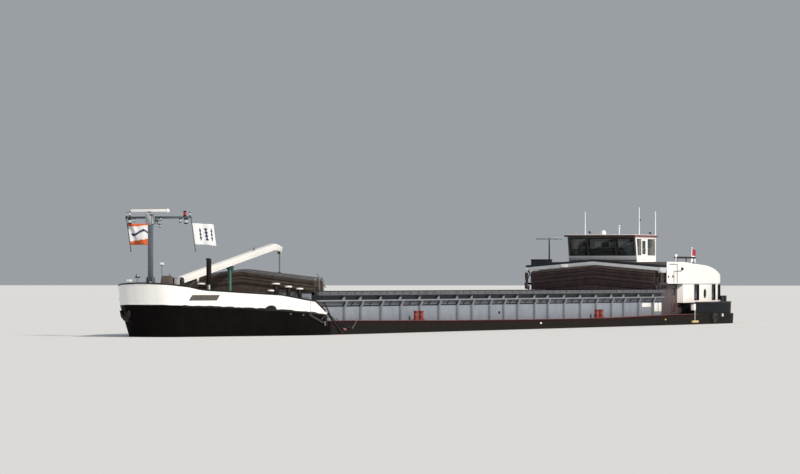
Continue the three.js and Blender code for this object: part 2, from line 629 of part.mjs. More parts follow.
function deckhouseUpper() {
  const profile = (inset) => [[HOUSE_FORE - inset, HOUSE_MID], [HOUSE_FORE - inset, HOUSE_ROOF - inset],
    [-28.3, HOUSE_ROOF - inset], [-30, 3.67 - inset], [-32.7, 3.53 - inset], [-34.2, 3.3 - inset],
    [-35.4, 2.95 - inset], [-37.0 + inset, HOUSE_MID]];
  const half = HOUSE_HALF + 0.06;
  const outer = profileAcross(profile(0), -half, half)
    .intersect(plan(housePlan(half, -20, HOUSE_AFT - 0.06, HOUSE_CORNER + 0.06), 2, 4));
  const inner = profileAcross(profile(WALL), -half + WALL, half - WALL)
    .intersect(plan(housePlan(half - WALL, -20, HOUSE_AFT + 0.08, HOUSE_CORNER - 0.08), 2, 4));
  const under = block(-36.4, HOUSE_FORE - WALL, -3, 3, HOUSE_MID - 0.1, HOUSE_MID + 0.05);
  return outer.subtract(inner).subtract(under);
}

function wheelhouse() {
  const { fore, aft, half, floor, top } = WHEELHOUSE;
  const { sill, lintel, across, sides } = WHEELHOUSE_PANES;
  const wall = 0.09;
  const body = block(aft, fore, -half, half, floor, top - GAP)
    .subtract(block(aft + wall, fore - wall, -half + wall, half - wall, floor - 0.1, top + 0.1));
  const cuts = across.map(([y0, y1]) => block(aft - 1, fore + 1, y0, y1, sill, lintel));
  for (const [x0, x1] of sides) cuts.push(block(x0, x1, -3, 3, sill, lintel));
  cuts.push(block(WHEELHOUSE_DOOR.x0, WHEELHOUSE_DOOR.x1, -3, 3, WHEELHOUSE_DOOR.z0, WHEELHOUSE_DOOR.z1));
  return body.subtract(join(...cuts));
}

function wheelhouseRoof() {
  const { fore, aft, half, top } = WHEELHOUSE;
  const slab = block(aft - 0.15, fore + 0.35, -half - 0.08, half + 0.08, top, top + 0.11);
  const whips = WHIPS.map(([x, y, z]) => rod([x, y, top + 0.05], [x, y, z], 0.022, 6));
  return join(slab, ...whips);
}

// Door leaf aft of its hinge line, with a window hole; side is 1 to port and -1 to starboard
function door({ width, height, thick, windowLow, windowHigh }, side) {
  const rim = 0.12;
  const leaf = block(-width, 0, side > 0 ? -thick : 0, side > 0 ? 0 : thick, 0, height)
    .subtract(block(rim - width, -rim, -1, 1, windowLow, windowHigh));
  const knuckles = [0.2, 0.5, 0.8].map((share) => (
    rod([0, 0, height * share - 0.06], [0, 0, height * share + 0.06], DOOR_GAP - GAP, 16)));
  return join(leaf, ...knuckles);
}

function signalMast() {
  const { top, yard, half } = SIGNAL_MAST;
  return join(rod([0, 0, HOUSE_ROOF + GAP], [0, 0, top], 0.05, 8),
    block(-0.04, 0.04, -half, half, yard, yard + 0.08));
}

function flagStaff() {
  const { aft, height, radius } = STERN_STAFF;
  return join(rod([0, 0, 0], [0, 0, 0.15], 0.05, 8), rod([0, 0, 0.1], [-aft, 0, height + 0.1], radius, 8));
}

// Flag as a thin plate on a staff that runs lean aft for each metre down; fly turns it from aft to port
function flag(width, height, lean, staffRadius, fly = 0) {
  const e1 = new THREE.Vector3(-Math.cos(fly), Math.sin(fly), 0);
  const staff = new THREE.Vector3(lean, 0, 1).normalize();
  const e2 = staff.clone().addScaledVector(e1, -staff.dot(e1)).normalize();
  const luff = staffRadius / staff.dot(e2) + GAP;
  const drop = height * Math.hypot(1, lean);
  const [dx, dy] = [drop * staff.dot(e1), drop * staff.dot(e2)];
  const cloth = outline([[luff, 0], [luff + width, 0], [luff + width - dx, -dy], [luff - dx, -dy]]);
  const plate = new THREE.ExtrudeGeometry(cloth, { depth: FLAG_THICK * MM, bevelEnabled: false });
  plate.translate(0, 0, (-FLAG_THICK / 2) * MM);
  plate.applyMatrix4(new THREE.Matrix4().makeBasis(e1, e2, e1.clone().cross(e2)));
  return solid(plate);
}

function propeller() {
  const parts = [rod([HUB_FORE, 0, 0], [-0.25, 0, 0], 0.13, 16)];
  for (let i = 0; i < 4; i += 1) {
    const blade = new THREE.Shape();
    blade.absellipse(0, (PROP_R - 0.33) * MM, 0.24 * MM, 0.33 * MM, 0, 2 * Math.PI, false, 0);
    const thick = 0.04 * MM;
    const plate = new THREE.ExtrudeGeometry(blade, { depth: thick, bevelEnabled: false, curveSegments: 6 });
    plate.translate(0, 0, -thick / 2);
    plate.rotateY(THREE.MathUtils.degToRad(62));
    plate.rotateX(THREE.MathUtils.degToRad(90 * i));
    parts.push(solid(plate));
  }
  return join(...parts);
}

function propellerNozzle() {
  const section = [[0.79, -0.35], [0.84, -0.38], [0.87, 0.3], [0.83, 0.36], [0.79, 0.2], [0.79, -0.35]];
  const ring = turned(section, 32).rotate([0, 90, 0]).translate([0, 0, SHAFT_Z * MM]);
  return join(ring, block(-0.25, 0.25, -0.12, 0.12, SHAFT_Z + 0.83, COUNTER - GAP));
}

function rudder() {
  const [low, high] = RUDDER_SPAN;
  const edge = [[0.25, 0.08], [-0.1, 0.1], [-0.6, 0.05], [-0.85, 0.015]];
  const foil = [...edge, ...edge.map(([x, y]) => [x, -y]).reverse(), [0.35, 0]];
  return join(plan(foil, low, high), rod([0, 0, high - 0.05], [0, 0, COUNTER - GAP], 0.07));
}

function engine() {
  const { x0, x1, half, top } = ENGINE;
  return block(x0, x1, -half, half, ENGINE_ROOM.floor + GAP, top);
}

// Tyre that hangs flat against the side
function tyreFender() {
  return turned([[0.16, -0.09], [0.27, -0.1], [0.31, 0], [0.27, 0.1], [0.16, 0.09], [0.16, -0.09]], 20)
    .rotate([90, 0, 0]);
}

const ship = new THREE.Group();
ship.position.z = DRAUGHT * MM;

function add(name, shape, paint, [x, y, z] = [0, 0, 0], [rx, ry, rz] = [0, 0, 0], parent = ship) {
  const [color, roughness, metalness] = PAINT[paint];
  const material = new THREE.MeshStandardMaterial({ color, roughness, metalness });
  const mesh = new THREE.Mesh(geometryOf(shape), material);
  mesh.name = name;
  mesh.position.set(x * MM, y * MM, z * MM);
  mesh.rotation.set(rx, ry, rz);
  parent.add(mesh);
  return mesh;
}

const hullSolid = hull();
const bulwarkSolid = bowBulwark();
add('hull', hullSolid, 'hull');
add('bow_bulwark', bulwarkSolid, 'white');
add('poop_deck', poopDeck(), 'dark');
add('hold_coaming', holdCoaming(), 'coaming');
add('fore_hatch_stack', hatchStack(FORE_STACK), 'cover');
add('aft_hatch_stack', hatchStack(AFT_STACK), 'cover');
add('hatch_gantry', hatchGantry(), 'grey', [GANTRY_X, 0, 0]);
for (const [side, s] of [['port', 1], ['starboard', -1]]) {
  for (const [end, dx] of [['fore', 0.62], ['aft', -0.62]]) {
    add(`gantry_wheel_${end}_${side}`, gantryWheel(), 'steel',
      [GANTRY_X + dx, s * (GANTRY_LEG - 0.2), COAMING_TOP + WHEEL_R + GAP]);
  }
}

add('mast_post', mastPost(), 'mast', [MAST_X, 0, 0]);
add('foremast', foremast(), 'mast', [MAST_X, 0, MAST_HINGE]);
add('radar_scanner', radarScanner(), 'white', [MAST_X + 0.1, 0, 0]);
add('crane_base', craneBase(), 'white', [CRANE_X, 0, 0]);
add('crane_column', craneColumn(), 'dark', [CRANE_X, 0, 0]);
add('crane_boom', craneBoom(), 'white', [CRANE_X, 0, BOOM_PIN], [0, BOOM_TILT, 0]);
add('luffing_barrel', luffingBarrel(), 'dark', [CRANE_X + RAM_FOOT[0], 0, RAM_FOOT[1]], [0, RAM_ANGLE, 0]);
add('luffing_rod', luffingRod(), 'steel', [CRANE_X + RAM_FOOT[0], 0, RAM_FOOT[1]], [0, RAM_ANGLE, 0]);
add('crane_hook', craneHook(), 'dark', [CRANE_X + NOSE_PIN_STOWED[0], 0, NOSE_PIN_STOWED[1]]);
add('boom_rest', boomRest(), 'green');
add('bow_exhaust', exhaustPipe(), 'dark');
add('anchor_windlass', anchorWindlass(), 'brown');
for (const [side, s] of [['port', 1], ['starboard', -1]]) {
  for (const [place, pair] of Object.entries(BOLLARDS)) {
    add(`${place}_bollards_${side}`, bollards({ ...pair, y: s * pair.y }), pair.paint);
  }
  const tyre = tyreFender().rotate([-s * TYRE.tilt, 0, 0])
    .translate([TYRE.x * MM, s * TYRE.y * MM, TYRE.z * MM]);
  add(`tyre_fender_${side}`, bearingOn(hullSolid, tyre, [0, s]), 'rubber');
}
const anchorTurn = THREE.MathUtils.degToRad(ANCHOR.turn);
const hung = anchor().rotate([ANCHOR.lean, 0, ANCHOR.turn])
  .translate([ANCHOR.x * MM, ANCHOR.y * MM, ANCHOR.z * MM]);
const anchorFacing = [Math.sin(anchorTurn), -Math.cos(anchorTurn)];
add('bow_anchor', bearingOn(join(hullSolid, bulwarkSolid), hung, anchorFacing), 'dark');

add('deckhouse_lower', deckhouseLower(), 'white');
add('deckhouse_upper', deckhouseUpper(), 'white');
add('wheelhouse', wheelhouse(), 'white');
add('wheelhouse_roof', wheelhouseRoof(), 'red');
for (const [side, s] of [['port', 1], ['starboard', -1]]) {
  add(`deckhouse_door_${side}`, door(CABIN_LEAF, s), 'brown',
    [ENTRANCE.x1 - DOOR_GAP, s * (ENTRANCE.y - DOOR_INSET), ENTRANCE.z0 + DOOR_INSET]);
  add(`wheelhouse_door_${side}`, door(BRIDGE_LEAF, s), 'white',
    [WHEELHOUSE_DOOR.x1 - DOOR_GAP, s * (WHEELHOUSE.half - DOOR_INSET), WHEELHOUSE_DOOR.z0 + DOOR_INSET]);
}
add('signal_mast', signalMast(), 'mast', [SIGNAL_MAST.x, SIGNAL_MAST.y, 0]);
add('stern_flag_staff', flagStaff(), 'white', [STERN_STAFF.x, STERN_STAFF.y, POOP_DECK + GAP]);

add('propeller', propeller(), 'bronze', [PROP_X, 0, SHAFT_Z]);
add('propeller_nozzle', propellerNozzle(), 'dark', [PROP_X, 0, 0]);
add('rudder_port', rudder(), 'hull', [RUDDER_X, RUDDER_Y, 0]);
add('rudder_starboard', rudder(), 'hull', [RUDDER_X, -RUDDER_Y, 0]);
add('engine', engine(), 'steel');

const sternLean = -STERN_STAFF.aft / STERN_STAFF.height;
const sternFlagTop = 3.3;
add('stern_flag', flag(0.7, 1.2, sternLean, STERN_STAFF.radius), 'cloth',
  [STERN_STAFF.x + sternLean * (sternFlagTop - 0.1), STERN_STAFF.y, POOP_DECK + sternFlagTop]);
const bowLean = BOW_STAFF.aft / BOW_STAFF.down;
for (const [side, s] of [['port', 1], ['starboard', -1]]) {
  add(`bow_flag_${side}`, flag(1.2, 1.0, bowLean, BOW_STAFF.radius, BOW_FLAG_FLY), 'cloth',
    [MAST_X + YARD_X - bowLean * 0.28, s * (YARD_HALF - 0.04), YARD_Z - 0.28]);
}

export default ship;
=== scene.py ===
# Inland motor barge at half its real size, afloat on a pale studio floor.
# Lengths are real metres of the full-size vessel: x forward from amidships, y to port, z up from the
# loaded waterline. place() turns them into the half-size model's own frame.
import math
import random

import bmesh
import bpy
import numpy as np
from mathutils import Matrix, Vector


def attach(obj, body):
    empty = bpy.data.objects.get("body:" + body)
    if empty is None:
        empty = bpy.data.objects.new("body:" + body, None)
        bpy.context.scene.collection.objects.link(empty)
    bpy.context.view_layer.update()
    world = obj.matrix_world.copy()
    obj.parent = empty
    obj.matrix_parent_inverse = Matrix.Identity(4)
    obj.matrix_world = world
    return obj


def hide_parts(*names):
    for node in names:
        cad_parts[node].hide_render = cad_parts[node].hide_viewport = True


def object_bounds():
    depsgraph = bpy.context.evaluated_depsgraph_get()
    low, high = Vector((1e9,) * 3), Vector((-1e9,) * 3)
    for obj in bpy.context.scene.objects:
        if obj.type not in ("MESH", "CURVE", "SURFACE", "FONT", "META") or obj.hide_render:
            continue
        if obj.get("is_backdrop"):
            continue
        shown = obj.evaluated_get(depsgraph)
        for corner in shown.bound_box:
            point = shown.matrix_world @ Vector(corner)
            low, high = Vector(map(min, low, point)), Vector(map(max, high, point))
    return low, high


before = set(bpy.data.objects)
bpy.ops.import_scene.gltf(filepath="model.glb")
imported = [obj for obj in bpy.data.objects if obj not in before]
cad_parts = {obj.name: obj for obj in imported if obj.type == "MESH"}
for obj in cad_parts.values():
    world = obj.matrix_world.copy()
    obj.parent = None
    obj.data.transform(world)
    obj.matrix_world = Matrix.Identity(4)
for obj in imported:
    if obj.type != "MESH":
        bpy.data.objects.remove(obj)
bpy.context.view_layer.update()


# Camera
# A long lens well off the port bow and only a little above the foredeck rail, as from a river bank.
# The eye stands 230 m ahead of the vessel's middle, so the two ends look almost the same size.
SHIP_TO_MODEL = 0.5
DRAUGHT = 2.5
VIEW_POINT = (231.9, 90.96, 2.683)
VIEW_TURN = math.radians(67.947)
VIEW_PITCH = math.radians(0.54)
LENS_MM = 204.66
SENSOR_MM = 36
FAR_CLIP = 2000


def place(point):
    x, y, z = point
    return Vector((x, y, z + DRAUGHT)) * SHIP_TO_MODEL


camera = bpy.data.objects.new("camera", bpy.data.cameras.new("camera"))
bpy.context.scene.collection.objects.link(camera)
bpy.context.scene.camera = camera
camera.location = place(VIEW_POINT)
sight = Vector((-math.sin(VIEW_TURN), -math.cos(VIEW_TURN), math.tan(VIEW_PITCH)))
camera.rotation_euler = sight.to_track_quat("-Z", "Y").to_euler()
camera.data.lens = LENS_MM
camera.data.sensor_width = SENSOR_MM
camera.data.clip_end = FAR_CLIP


# Floor and light
# Matt pale floor at the waterline, open inside the hull so that the hold keeps its depth.
# One broad soft sun stands off the port bow, and an even pale sky fills the shadows.
FLOOR_REACH = 900
FLOOR_OPENING = (-12.3, 14.0, 2.0)
SUN_FROM = (0.36, 0.74, 0.57)
SUN_STRENGTH = 3.35
SUN_WIDTH = math.radians(5)
SKY_STRENGTH = 0.5


def srgb(code):
    parts = [int(code[i:i + 2], 16) / 255 for i in (1, 3, 5)]
    return [p / 12.92 if p <= 0.04045 else ((p + 0.055) / 1.055) ** 2.4 for p in parts] + [1.0]


def add_node(tree, kind, inputs=None, **settings):
    """New shader node; an input that is a node takes that node's first output."""
    made = tree.nodes.new("ShaderNode" + kind)
    for name, value in settings.items():
        setattr(made, name, value)
    for socket, value in (inputs or {}).items():
        if isinstance(value, bpy.types.Node):
            value = value.outputs[0]
        if isinstance(value, bpy.types.NodeSocket):
            tree.links.new(value, made.inputs[socket])
        else:
            made.inputs[socket].default_value = value
    return made


def new_material(name):
    material = bpy.data.materials.new(name)
    material.use_nodes = True
    material.node_tree.nodes.clear()
    return material, material.node_tree


# Matt paper scatters light evenly, so it shows soft shadows and no glare
studio_paper, tree = new_material("matt_studio_paper")
fibres = add_node(tree, "TexNoise", {"Scale": 3.0, "Detail": 3.0})
tone = add_node(tree, "Mix", {"Factor": fibres, 6: srgb("#e4e6e8"), 7: srgb("#e8eaeb")}, data_type="RGBA")
paper = add_node(tree, "BsdfPrincipled", {"Base Color": tone.outputs[2], "Roughness": 0.9})
add_node(tree, "OutputMaterial", {"Surface": paper})

x0, x1, half = FLOOR_OPENING
outer = [(-FLOOR_REACH, -FLOOR_REACH), (FLOOR_REACH, -FLOOR_REACH), (FLOOR_REACH, FLOOR_REACH),
         (-FLOOR_REACH, FLOOR_REACH)]
inner = [(x0, -half), (x1, -half), (x1, half), (x0, half)]
floor_mesh = bpy.data.meshes.new("floor")
floor_mesh.from_pydata([(x, y, DRAUGHT * SHIP_TO_MODEL) for x, y in outer + inner], [],
                       [(i, (i + 1) % 4, 4 + (i + 1) % 4, 4 + i) for i in range(4)])
floor_mesh.materials.append(studio_paper)
floor = bpy.data.objects.new("floor", floor_mesh)
bpy.context.scene.collection.objects.link(floor)
floor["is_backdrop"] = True

sun = bpy.data.objects.new("sun", bpy.data.lights.new("sun", "SUN"))
bpy.context.scene.collection.objects.link(sun)
sun.rotation_euler = (-Vector(SUN_FROM)).to_track_quat("-Z", "Y").to_euler()
sun.data.energy = SUN_STRENGTH
sun.data.angle = SUN_WIDTH
sun.data.color = srgb("#fff4e6")[:3]
# The plain display transform keeps white enamel white and black hull paint deep
bpy.context.scene.view_settings.view_transform = "Standard"
world = bpy.data.worlds.new("sky")
bpy.context.scene.world = world
world.use_nodes = True
background = world.node_tree.nodes["Background"]
background.inputs["Color"].default_value = srgb("#d3d9e0")
background.inputs["Strength"].default_value = SKY_STRENGTH


# Hull
# Welded steel shell plating, painted black down to the waterline, with a worn red brown band under
# the side deck. The open hold is cut into it down to the tank top, and the stern stands over a counter.
HALF_BEAM = 4.6
KEEL = -2.5
BILGE = 0.35
COUNTER = -0.66
TANK_TOP = -2.0
# Heights to which the flare of the bow and of the stern is measured
BOW_FLARE = 1.5
STERN_FLARE = 1
BREAK = 28.1
SIDE_DECK_AFT = 0.62
BAND_DEPTH = 0.14
BAND_AFT = -29.0
SHEER = [(-25, SIDE_DECK_AFT), (-13, 0.50), (0, 0.52), (12, 0.57), (26, 0.68)]
# x0, x1 and half width
HOLD = (-24.34, 27.84, 3.70)
FRAME_SPACING = 0.53
SIDES = (("port", 1), ("starboard", -1))
# x of the deck edge, half breadths at deck, waterline and bilge
BOW_LINES = [
    (26.0, 4.60, 4.60, 4.55), (28.1, 4.60, 4.58, 4.50), (29.6, 4.56, 4.50, 4.30),
    (30.6, 4.47, 4.35, 4.05), (32.3, 3.95, 3.75, 3.30), (34.2, 3.18, 2.95, 2.35),
    (35.6, 2.67, 2.43, 1.70), (37.1, 2.20, 1.95, 1.05), (37.6, 2.03, 1.77, 0.85),
    (38.2, 1.82, 1.54, 0.62), (38.8, 1.55, 1.28, 0.45), (39.2, 1.24, 0.98, 0.32),
    (39.4, 0.88, 0.68, 0.24), (39.5, 0.32, 0.26, 0.12),
]
STERN_LINES = [
    (-25.0, 4.60, 4.60, 4.55), (-28.0, 4.60, 4.56, 4.00), (-31.0, 4.60, 4.50, 2.90),
    (-33.0, 4.58, 4.50, 1.80), (-35.0, 4.52, 4.48, 1.00), (-36.5, 4.42, 4.36, 0.60),
    (-37.7, 4.10, 4.05, 0.42), (-38.6, 3.64, 3.58, 0.30), (-39.2, 2.95, 2.88, 0.22),
    (-39.4, 2.20, 2.12, 0.18), (-39.5, 0.70, 0.60, 0.12),
]
# Height, and how far the stem or stern reaches there
STEM_PROFILE = [(-2.5, 36.3), (-2.0, 37.4), (-1.2, 38.2), (0, 38.8), (1.4, 39.25), (2.57, 39.5)]
STERN_PROFILE = [(-2.5, -31.5), (-1.6, -32.6), (-0.8, -33.4), (-0.5, -37.5), (-0.2, -39.3),
                 (0, -39.5)]
# x, height of the bow rail and height of the edge between black and white paint
BOW_PAINT = [(26.0, 1.03, 0.99), (28.1, 1.03, 0.99), (29.6, 1.66, 1.09), (30.6, 1.74, 1.16),
             (32.3, 1.97, 1.25), (34.2, 2.06, 1.35), (35.6, 2.13, 1.39), (37.1, 2.20, 1.44),
             (37.6, 2.25, 1.45), (38.2, 2.36, 1.47), (38.8, 2.42, 1.49), (39.2, 2.47, 1.50),
             (39.4, 2.50, 1.52), (39.5, 2.53, 1.52)]
UNDERBODY = [KEEL - 1, KEEL + 0.1, KEEL + BILGE, -1.2, -0.66, -0.3, 0]


def along(table, x, column=1):
    rows = sorted(table)
    return float(np.interp(x, [row[0] for row in rows], [row[column] for row in rows]))


def refined(rows, steps):
    """More stations between the given ones, on smooth curves through them."""
    points = np.array(rows, float)
    ends = np.vstack([2 * points[0] - points[1], points, 2 * points[-1] - points[-2]])
    made = []
    for p0, p1, p2, p3 in zip(ends, ends[1:], ends[2:], ends[3:]):
        for t in np.arange(steps) / steps:
            made.append(0.5 * (2 * p1 + (p2 - p0) * t + (2 * p0 - 5 * p1 + 4 * p2 - p3) * t ** 2
                               + (3 * p1 - p0 - 3 * p2 + p3) * t ** 3))
    return [tuple(float(v) for v in row) for row in (*made, points[-1])]


def half_breadth(station, z, deck_height):
    deck, water, bilge = station[1:4]
    low = KEEL + BILGE
    if z <= low:
        return bilge
    if z <= 0:
        return bilge + (water - bilge) * (z - low) / -low
    return water + (deck - water) * min(z / deck_height, 1)


def hull_end(stations, profile, deck_height, heights_at, inset=0.0):
    """Rings of port side points, one for each station, raked by the stem or stern profile."""
    root, tip = stations[0][0], stations[-1][0]
    rings = []
    for station in stations:
        ring = []
        for height in heights_at(station[0]):
            z = max(height, KEEL)
            share = (along(profile, z) - root) / (tip - root)
            reach = station[0] - math.copysign(inset, tip) * (station[0] - root) / (tip - root)
            y = max(half_breadth(station, z, deck_height) - inset, 0.03)
            flat = min(BILGE, y / 2) if height < KEEL else 0
            ring.append((root + (reach - root) * share, y - flat, z))
        rings.append(ring)
    return rings


def loft(rings):
    """Closed skin through rings of port side points and their mirror images."""
    count = len(rings[0])
    points, faces = [], []
    for ring in rings:
        points += list(ring) + [(x, -y, z) for x, y, z in ring]
    for i in range(len(rings) - 1):
        a, b = i * 2 * count, (i + 1) * 2 * count
        for j in range(count - 1):
            faces.append((a + j, a + j + 1, b + j + 1, b + j))
            faces.append((b + count + j, b + count + j + 1, a + count + j + 1, a + count + j))
        faces.append((a + count - 1, a + 2 * count - 1, b + 2 * count - 1, b + count - 1))
        faces.append((b, b + count, a + count, a))
    last = (len(rings) - 1) * 2 * count
    for j in range(count - 1):
        faces.append((j, count + j, count + j + 1, j + 1))
        faces.append((last + j + 1, last + count + j + 1, last + count + j, last + j))
    return points, faces


def slab(x0, x1, y0, y1, z0, z1):
    """Block between two x and two y, in either order, and two z."""
    points = [(x, y, z) for x in sorted((x0, x1)) for y in sorted((y0, y1)) for z in (z0, z1)]
    return points, [(0, 1, 3, 2), (4, 6, 7, 5), (0, 4, 5, 1), (2, 3, 7, 6), (0, 2, 6, 4), (1, 5, 7, 3)]


def skin(rings, hoop=False):
    """Skin over rings of points, capped at both ends or joined into a hoop."""
    count = len(rings[0])
    points = [tuple(point) for ring in rings for point in ring]
    faces = []
    for k in range(len(rings) if hoop else len(rings) - 1):
        a, b = k * count, (k + 1) % len(rings) * count
        faces += [(a + i, a + (i + 1) % count, b + (i + 1) % count, b + i) for i in range(count)]
    if not hoop:
        faces += [tuple(range(count)), tuple(range(len(points) - count, len(points)))]
    return points, faces


def drawn_out(outline, axis, low, high):
    """Outline carried along an axis: it holds (y, z) points for x, (x, z) for y and (x, y) for z."""
    spots = {"x": lambda a, b, t: (t, a, b), "y": lambda a, b, t: (a, t, b), "z": lambda a, b, t: (a, b, t)}
    return skin([[spots[axis](a, b, t) for a, b in outline] for t in sorted((low, high))])


def shifted(outline, da, db=0.0):
    """The same outline, moved in its own plane."""
    return [(a + da, b + db) for a, b in outline]


def mirrored(shape):
    return [(x, -y, z) for x, y, z in shape[0]], shape[1]


def both(shapes):
    """The shapes of the port side, and the same ones to starboard."""
    return [*shapes, *(mirrored(shape) for shape in shapes)]


def mesh_object(name, coats):
    """Object whose faces carry the materials of coats, a list of (material, shapes) pairs."""
    points, faces, marks = [], [], []
    for index, (_, shapes) in enumerate(coats):
        for shape_points, shape_faces in shapes:
            base = len(points)
            points += [place(p) for p in shape_points]
            faces += [tuple(base + i for i in face) for face in shape_faces]
            marks += [index] * len(shape_faces)
    mesh = bpy.data.meshes.new(name)
    mesh.from_pydata(points, [], faces)
    mesh.polygons.foreach_set("material_index", marks)
    shell = bmesh.new()
    shell.from_mesh(mesh)
    bmesh.ops.recalc_face_normals(shell, faces=shell.faces)
    shell.to_mesh(mesh)
    shell.free()
    for material, _ in coats:
        mesh.materials.append(material)
    thing = bpy.data.objects.new(name, mesh)
    bpy.context.scene.collection.objects.link(thing)
    return thing


def bake(thing):
    """Turns an object's modifiers into its own mesh."""
    graph = bpy.context.evaluated_depsgraph_get()
    made = bpy.data.meshes.new_from_object(thing.evaluated_get(graph))
    thing.modifiers.clear()
    thing.data = made


def trim(thing, shapes, operation="DIFFERENCE"):
    for shape in shapes:
        cutter = mesh_object("cutter", [(thing.data.materials[0], [shape])])
        tool = thing.modifiers.new("trim", "BOOLEAN")
        tool.object, tool.operation, tool.solver = cutter, operation, "EXACT"
        bake(thing)
        bpy.data.objects.remove(cutter)


def finish_piece(thing, body, stands_for=(), bevel=0.0, angle=35, coat_of=None):
    """Rounds the edges, smooths the faces and tells the frame what the piece rides on."""
    if bevel:
        tool = thing.modifiers.new("edge", "BEVEL")
        tool.width = bevel * SHIP_TO_MODEL
        tool.segments = 2
        tool.limit_method, tool.angle_limit = "ANGLE", math.radians(angle)
        bake(thing)
    thing.data.shade_smooth()
    thing.data.set_sharp_from_angle(angle=math.radians(angle))
    if coat_of:
        for face in thing.data.polygons:
            face.material_index = coat_of(face.center / SHIP_TO_MODEL - Vector((0, 0, DRAUGHT)), face.normal)
    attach(thing, body)
    if stands_for:
        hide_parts(*stands_for)
    return thing


def piece(name, body, coats, stands_for=(), bevel=0.0, angle=35):
    return finish_piece(mesh_object(name, coats), body, stands_for, bevel, angle)


def per(millimetres):
    """Repeats per metre of the model for a pattern of that real size."""
    return 1000 / millimetres / SHIP_TO_MODEL


def marine_paint(name, paint, worn, dirt, gloss=0.4, runs=0.3, blotch_mm=1400, hollows=0.0, shine=0.5):
    """Brushed and rolled ship's paint: tone blotches, dirt that runs down, and plating hollows."""
    material, tree = new_material(name)
    where = add_node(tree, "TexCoord").outputs["Object"]
    blotch = add_node(tree, "TexNoise", {"Vector": where, "Scale": per(blotch_mm), "Detail": 8.0,
                                         "Roughness": 0.62})
    wear = add_node(tree, "MapRange", {"Value": blotch, "From Min": 0.42, "From Max": 0.72})
    base = add_node(tree, "Mix", {"Factor": wear, 6: srgb(paint), 7: srgb(worn)}, data_type="RGBA")
    drawn = add_node(tree, "Mapping", {"Vector": where, "Scale": (per(150), per(150), per(2400))})
    trails = add_node(tree, "TexNoise", {"Vector": drawn, "Scale": 1.0, "Detail": 6.0, "Roughness": 0.7})
    trail = add_node(tree, "MapRange", {"Value": trails, "From Min": 0.54, "From Max": 0.76, "To Max": runs})
    coat = add_node(tree, "Mix", {"Factor": trail, 6: base.outputs[2], 7: srgb(dirt)}, data_type="RGBA")
    sheen = add_node(tree, "MapRange", {"Value": blotch, "From Min": 0.3, "From Max": 0.7,
                                        "To Min": gloss - 0.08, "To Max": gloss + 0.15})
    frames = add_node(tree, "Mapping", {"Vector": where, "Scale": (per(FRAME_SPACING * 1000), 0, 0)})
    # A wave texture of scale 1 repeats every 0.314 units, so this gives one hollow for each frame
    ribs = add_node(tree, "TexWave", {"Vector": frames, "Scale": 0.314, "Distortion": 0.6})
    plate = add_node(tree, "Bump", {"Height": ribs.outputs["Fac"], "Strength": hollows, "Distance": 0.02})
    grain = add_node(tree, "TexNoise", {"Vector": where, "Scale": per(35), "Detail": 4.0})
    coarse = add_node(tree, "Bump", {"Height": grain, "Strength": 0.1, "Distance": 0.003, "Normal": plate})
    shader = add_node(tree, "BsdfPrincipled", {"Base Color": coat.outputs[2], "Roughness": sheen,
                                               "Normal": coarse, "IOR": 1.5, "Specular IOR Level": shine})
    add_node(tree, "OutputMaterial", {"Surface": shader})
    return material


# Bitumen based black: deep, satin, browned by rust that weeps down from the deck edge
black_paint = marine_paint("black_bitumen_hull_paint",
                           "#0d0c0c", "#151212", "#2a201b", 0.6, 0.3, 1400, 0.08, 0.02)
# Red brown band rubbed by quays and lock walls, so it is dull and patchy
band_paint = marine_paint("rubbed_red_brown_band_paint",
                          "#251415", "#301b1b", "#151011", 0.65, 0.4, 500, 0.0, 0.05)
# Brown black of the long sides, dulled by walls and quays
side_paint = marine_paint("scuffed_brown_black_side_paint",
                          "#1b1918", "#262220", "#332a24", 0.62, 0.4, 900, 0.08, 0.05)
# Red oxide deck paint, chalky and walked on
deck_paint = marine_paint("chalky_red_oxide_deck_paint", "#7b5450", "#94716a", "#55423f", 0.7, 0.2, 700)
# Hold plating scraped bare by grabs, with dull rust between the scrapes
hold_steel = marine_paint("scraped_rusty_hold_steel", "#5c4a43", "#7f563f", "#38302d", 0.6, 0.5, 900)

fine_bow = refined(BOW_LINES, 6)
fine_stern = refined(STERN_LINES, 5)
deck_at_break = along(SHEER, BREAK)
hold_x0, hold_x1, hold_half = HOLD


def bow_rings(heights_at, inset=0.0):
    return hull_end(fine_bow, STEM_PROFILE, BOW_FLARE, heights_at, inset)


def stern_rings(heights, inset=0.0):
    return hull_end(fine_stern, STERN_PROFILE, STERN_FLARE, lambda x: heights, inset)


waist_rings = [[(x, HALF_BEAM - (BILGE if height < KEEL else 0), max(height, KEEL))
                for height in (*UNDERBODY, z - BAND_DEPTH, z)] for x, z in SHEER[1:4]]
# Blocks that cut away what lies abaft the foredeck's break, and under the counter
ABAFT_BREAK = slab(20, BREAK, -6, 6, -3, 4)
UNDER_COUNTER = slab(-41, -33.2, -6, 6, -3, COUNTER)


# Slots of the shell: 0 black bow and stern, 1 rubbed band, 2 side deck, 3 hold plating, 4 long side
def hull_coat(centre, normal):
    inside_hold = abs(centre.y) < hold_half + 0.01 and hold_x0 - 0.01 < centre.x < hold_x1 + 0.01
    if inside_hold and centre.z > TANK_TOP - 0.01 and centre.z < 0.45:
        return 3
    if normal.z > 0.9 and centre.z > 0.4:
        return 2
    if centre.z > along(SHEER, centre.x) - BAND_DEPTH and BAND_AFT < centre.x < BREAK - 0.4:
        return 1
    return 4 if centre.x < BREAK - 0.4 else 0


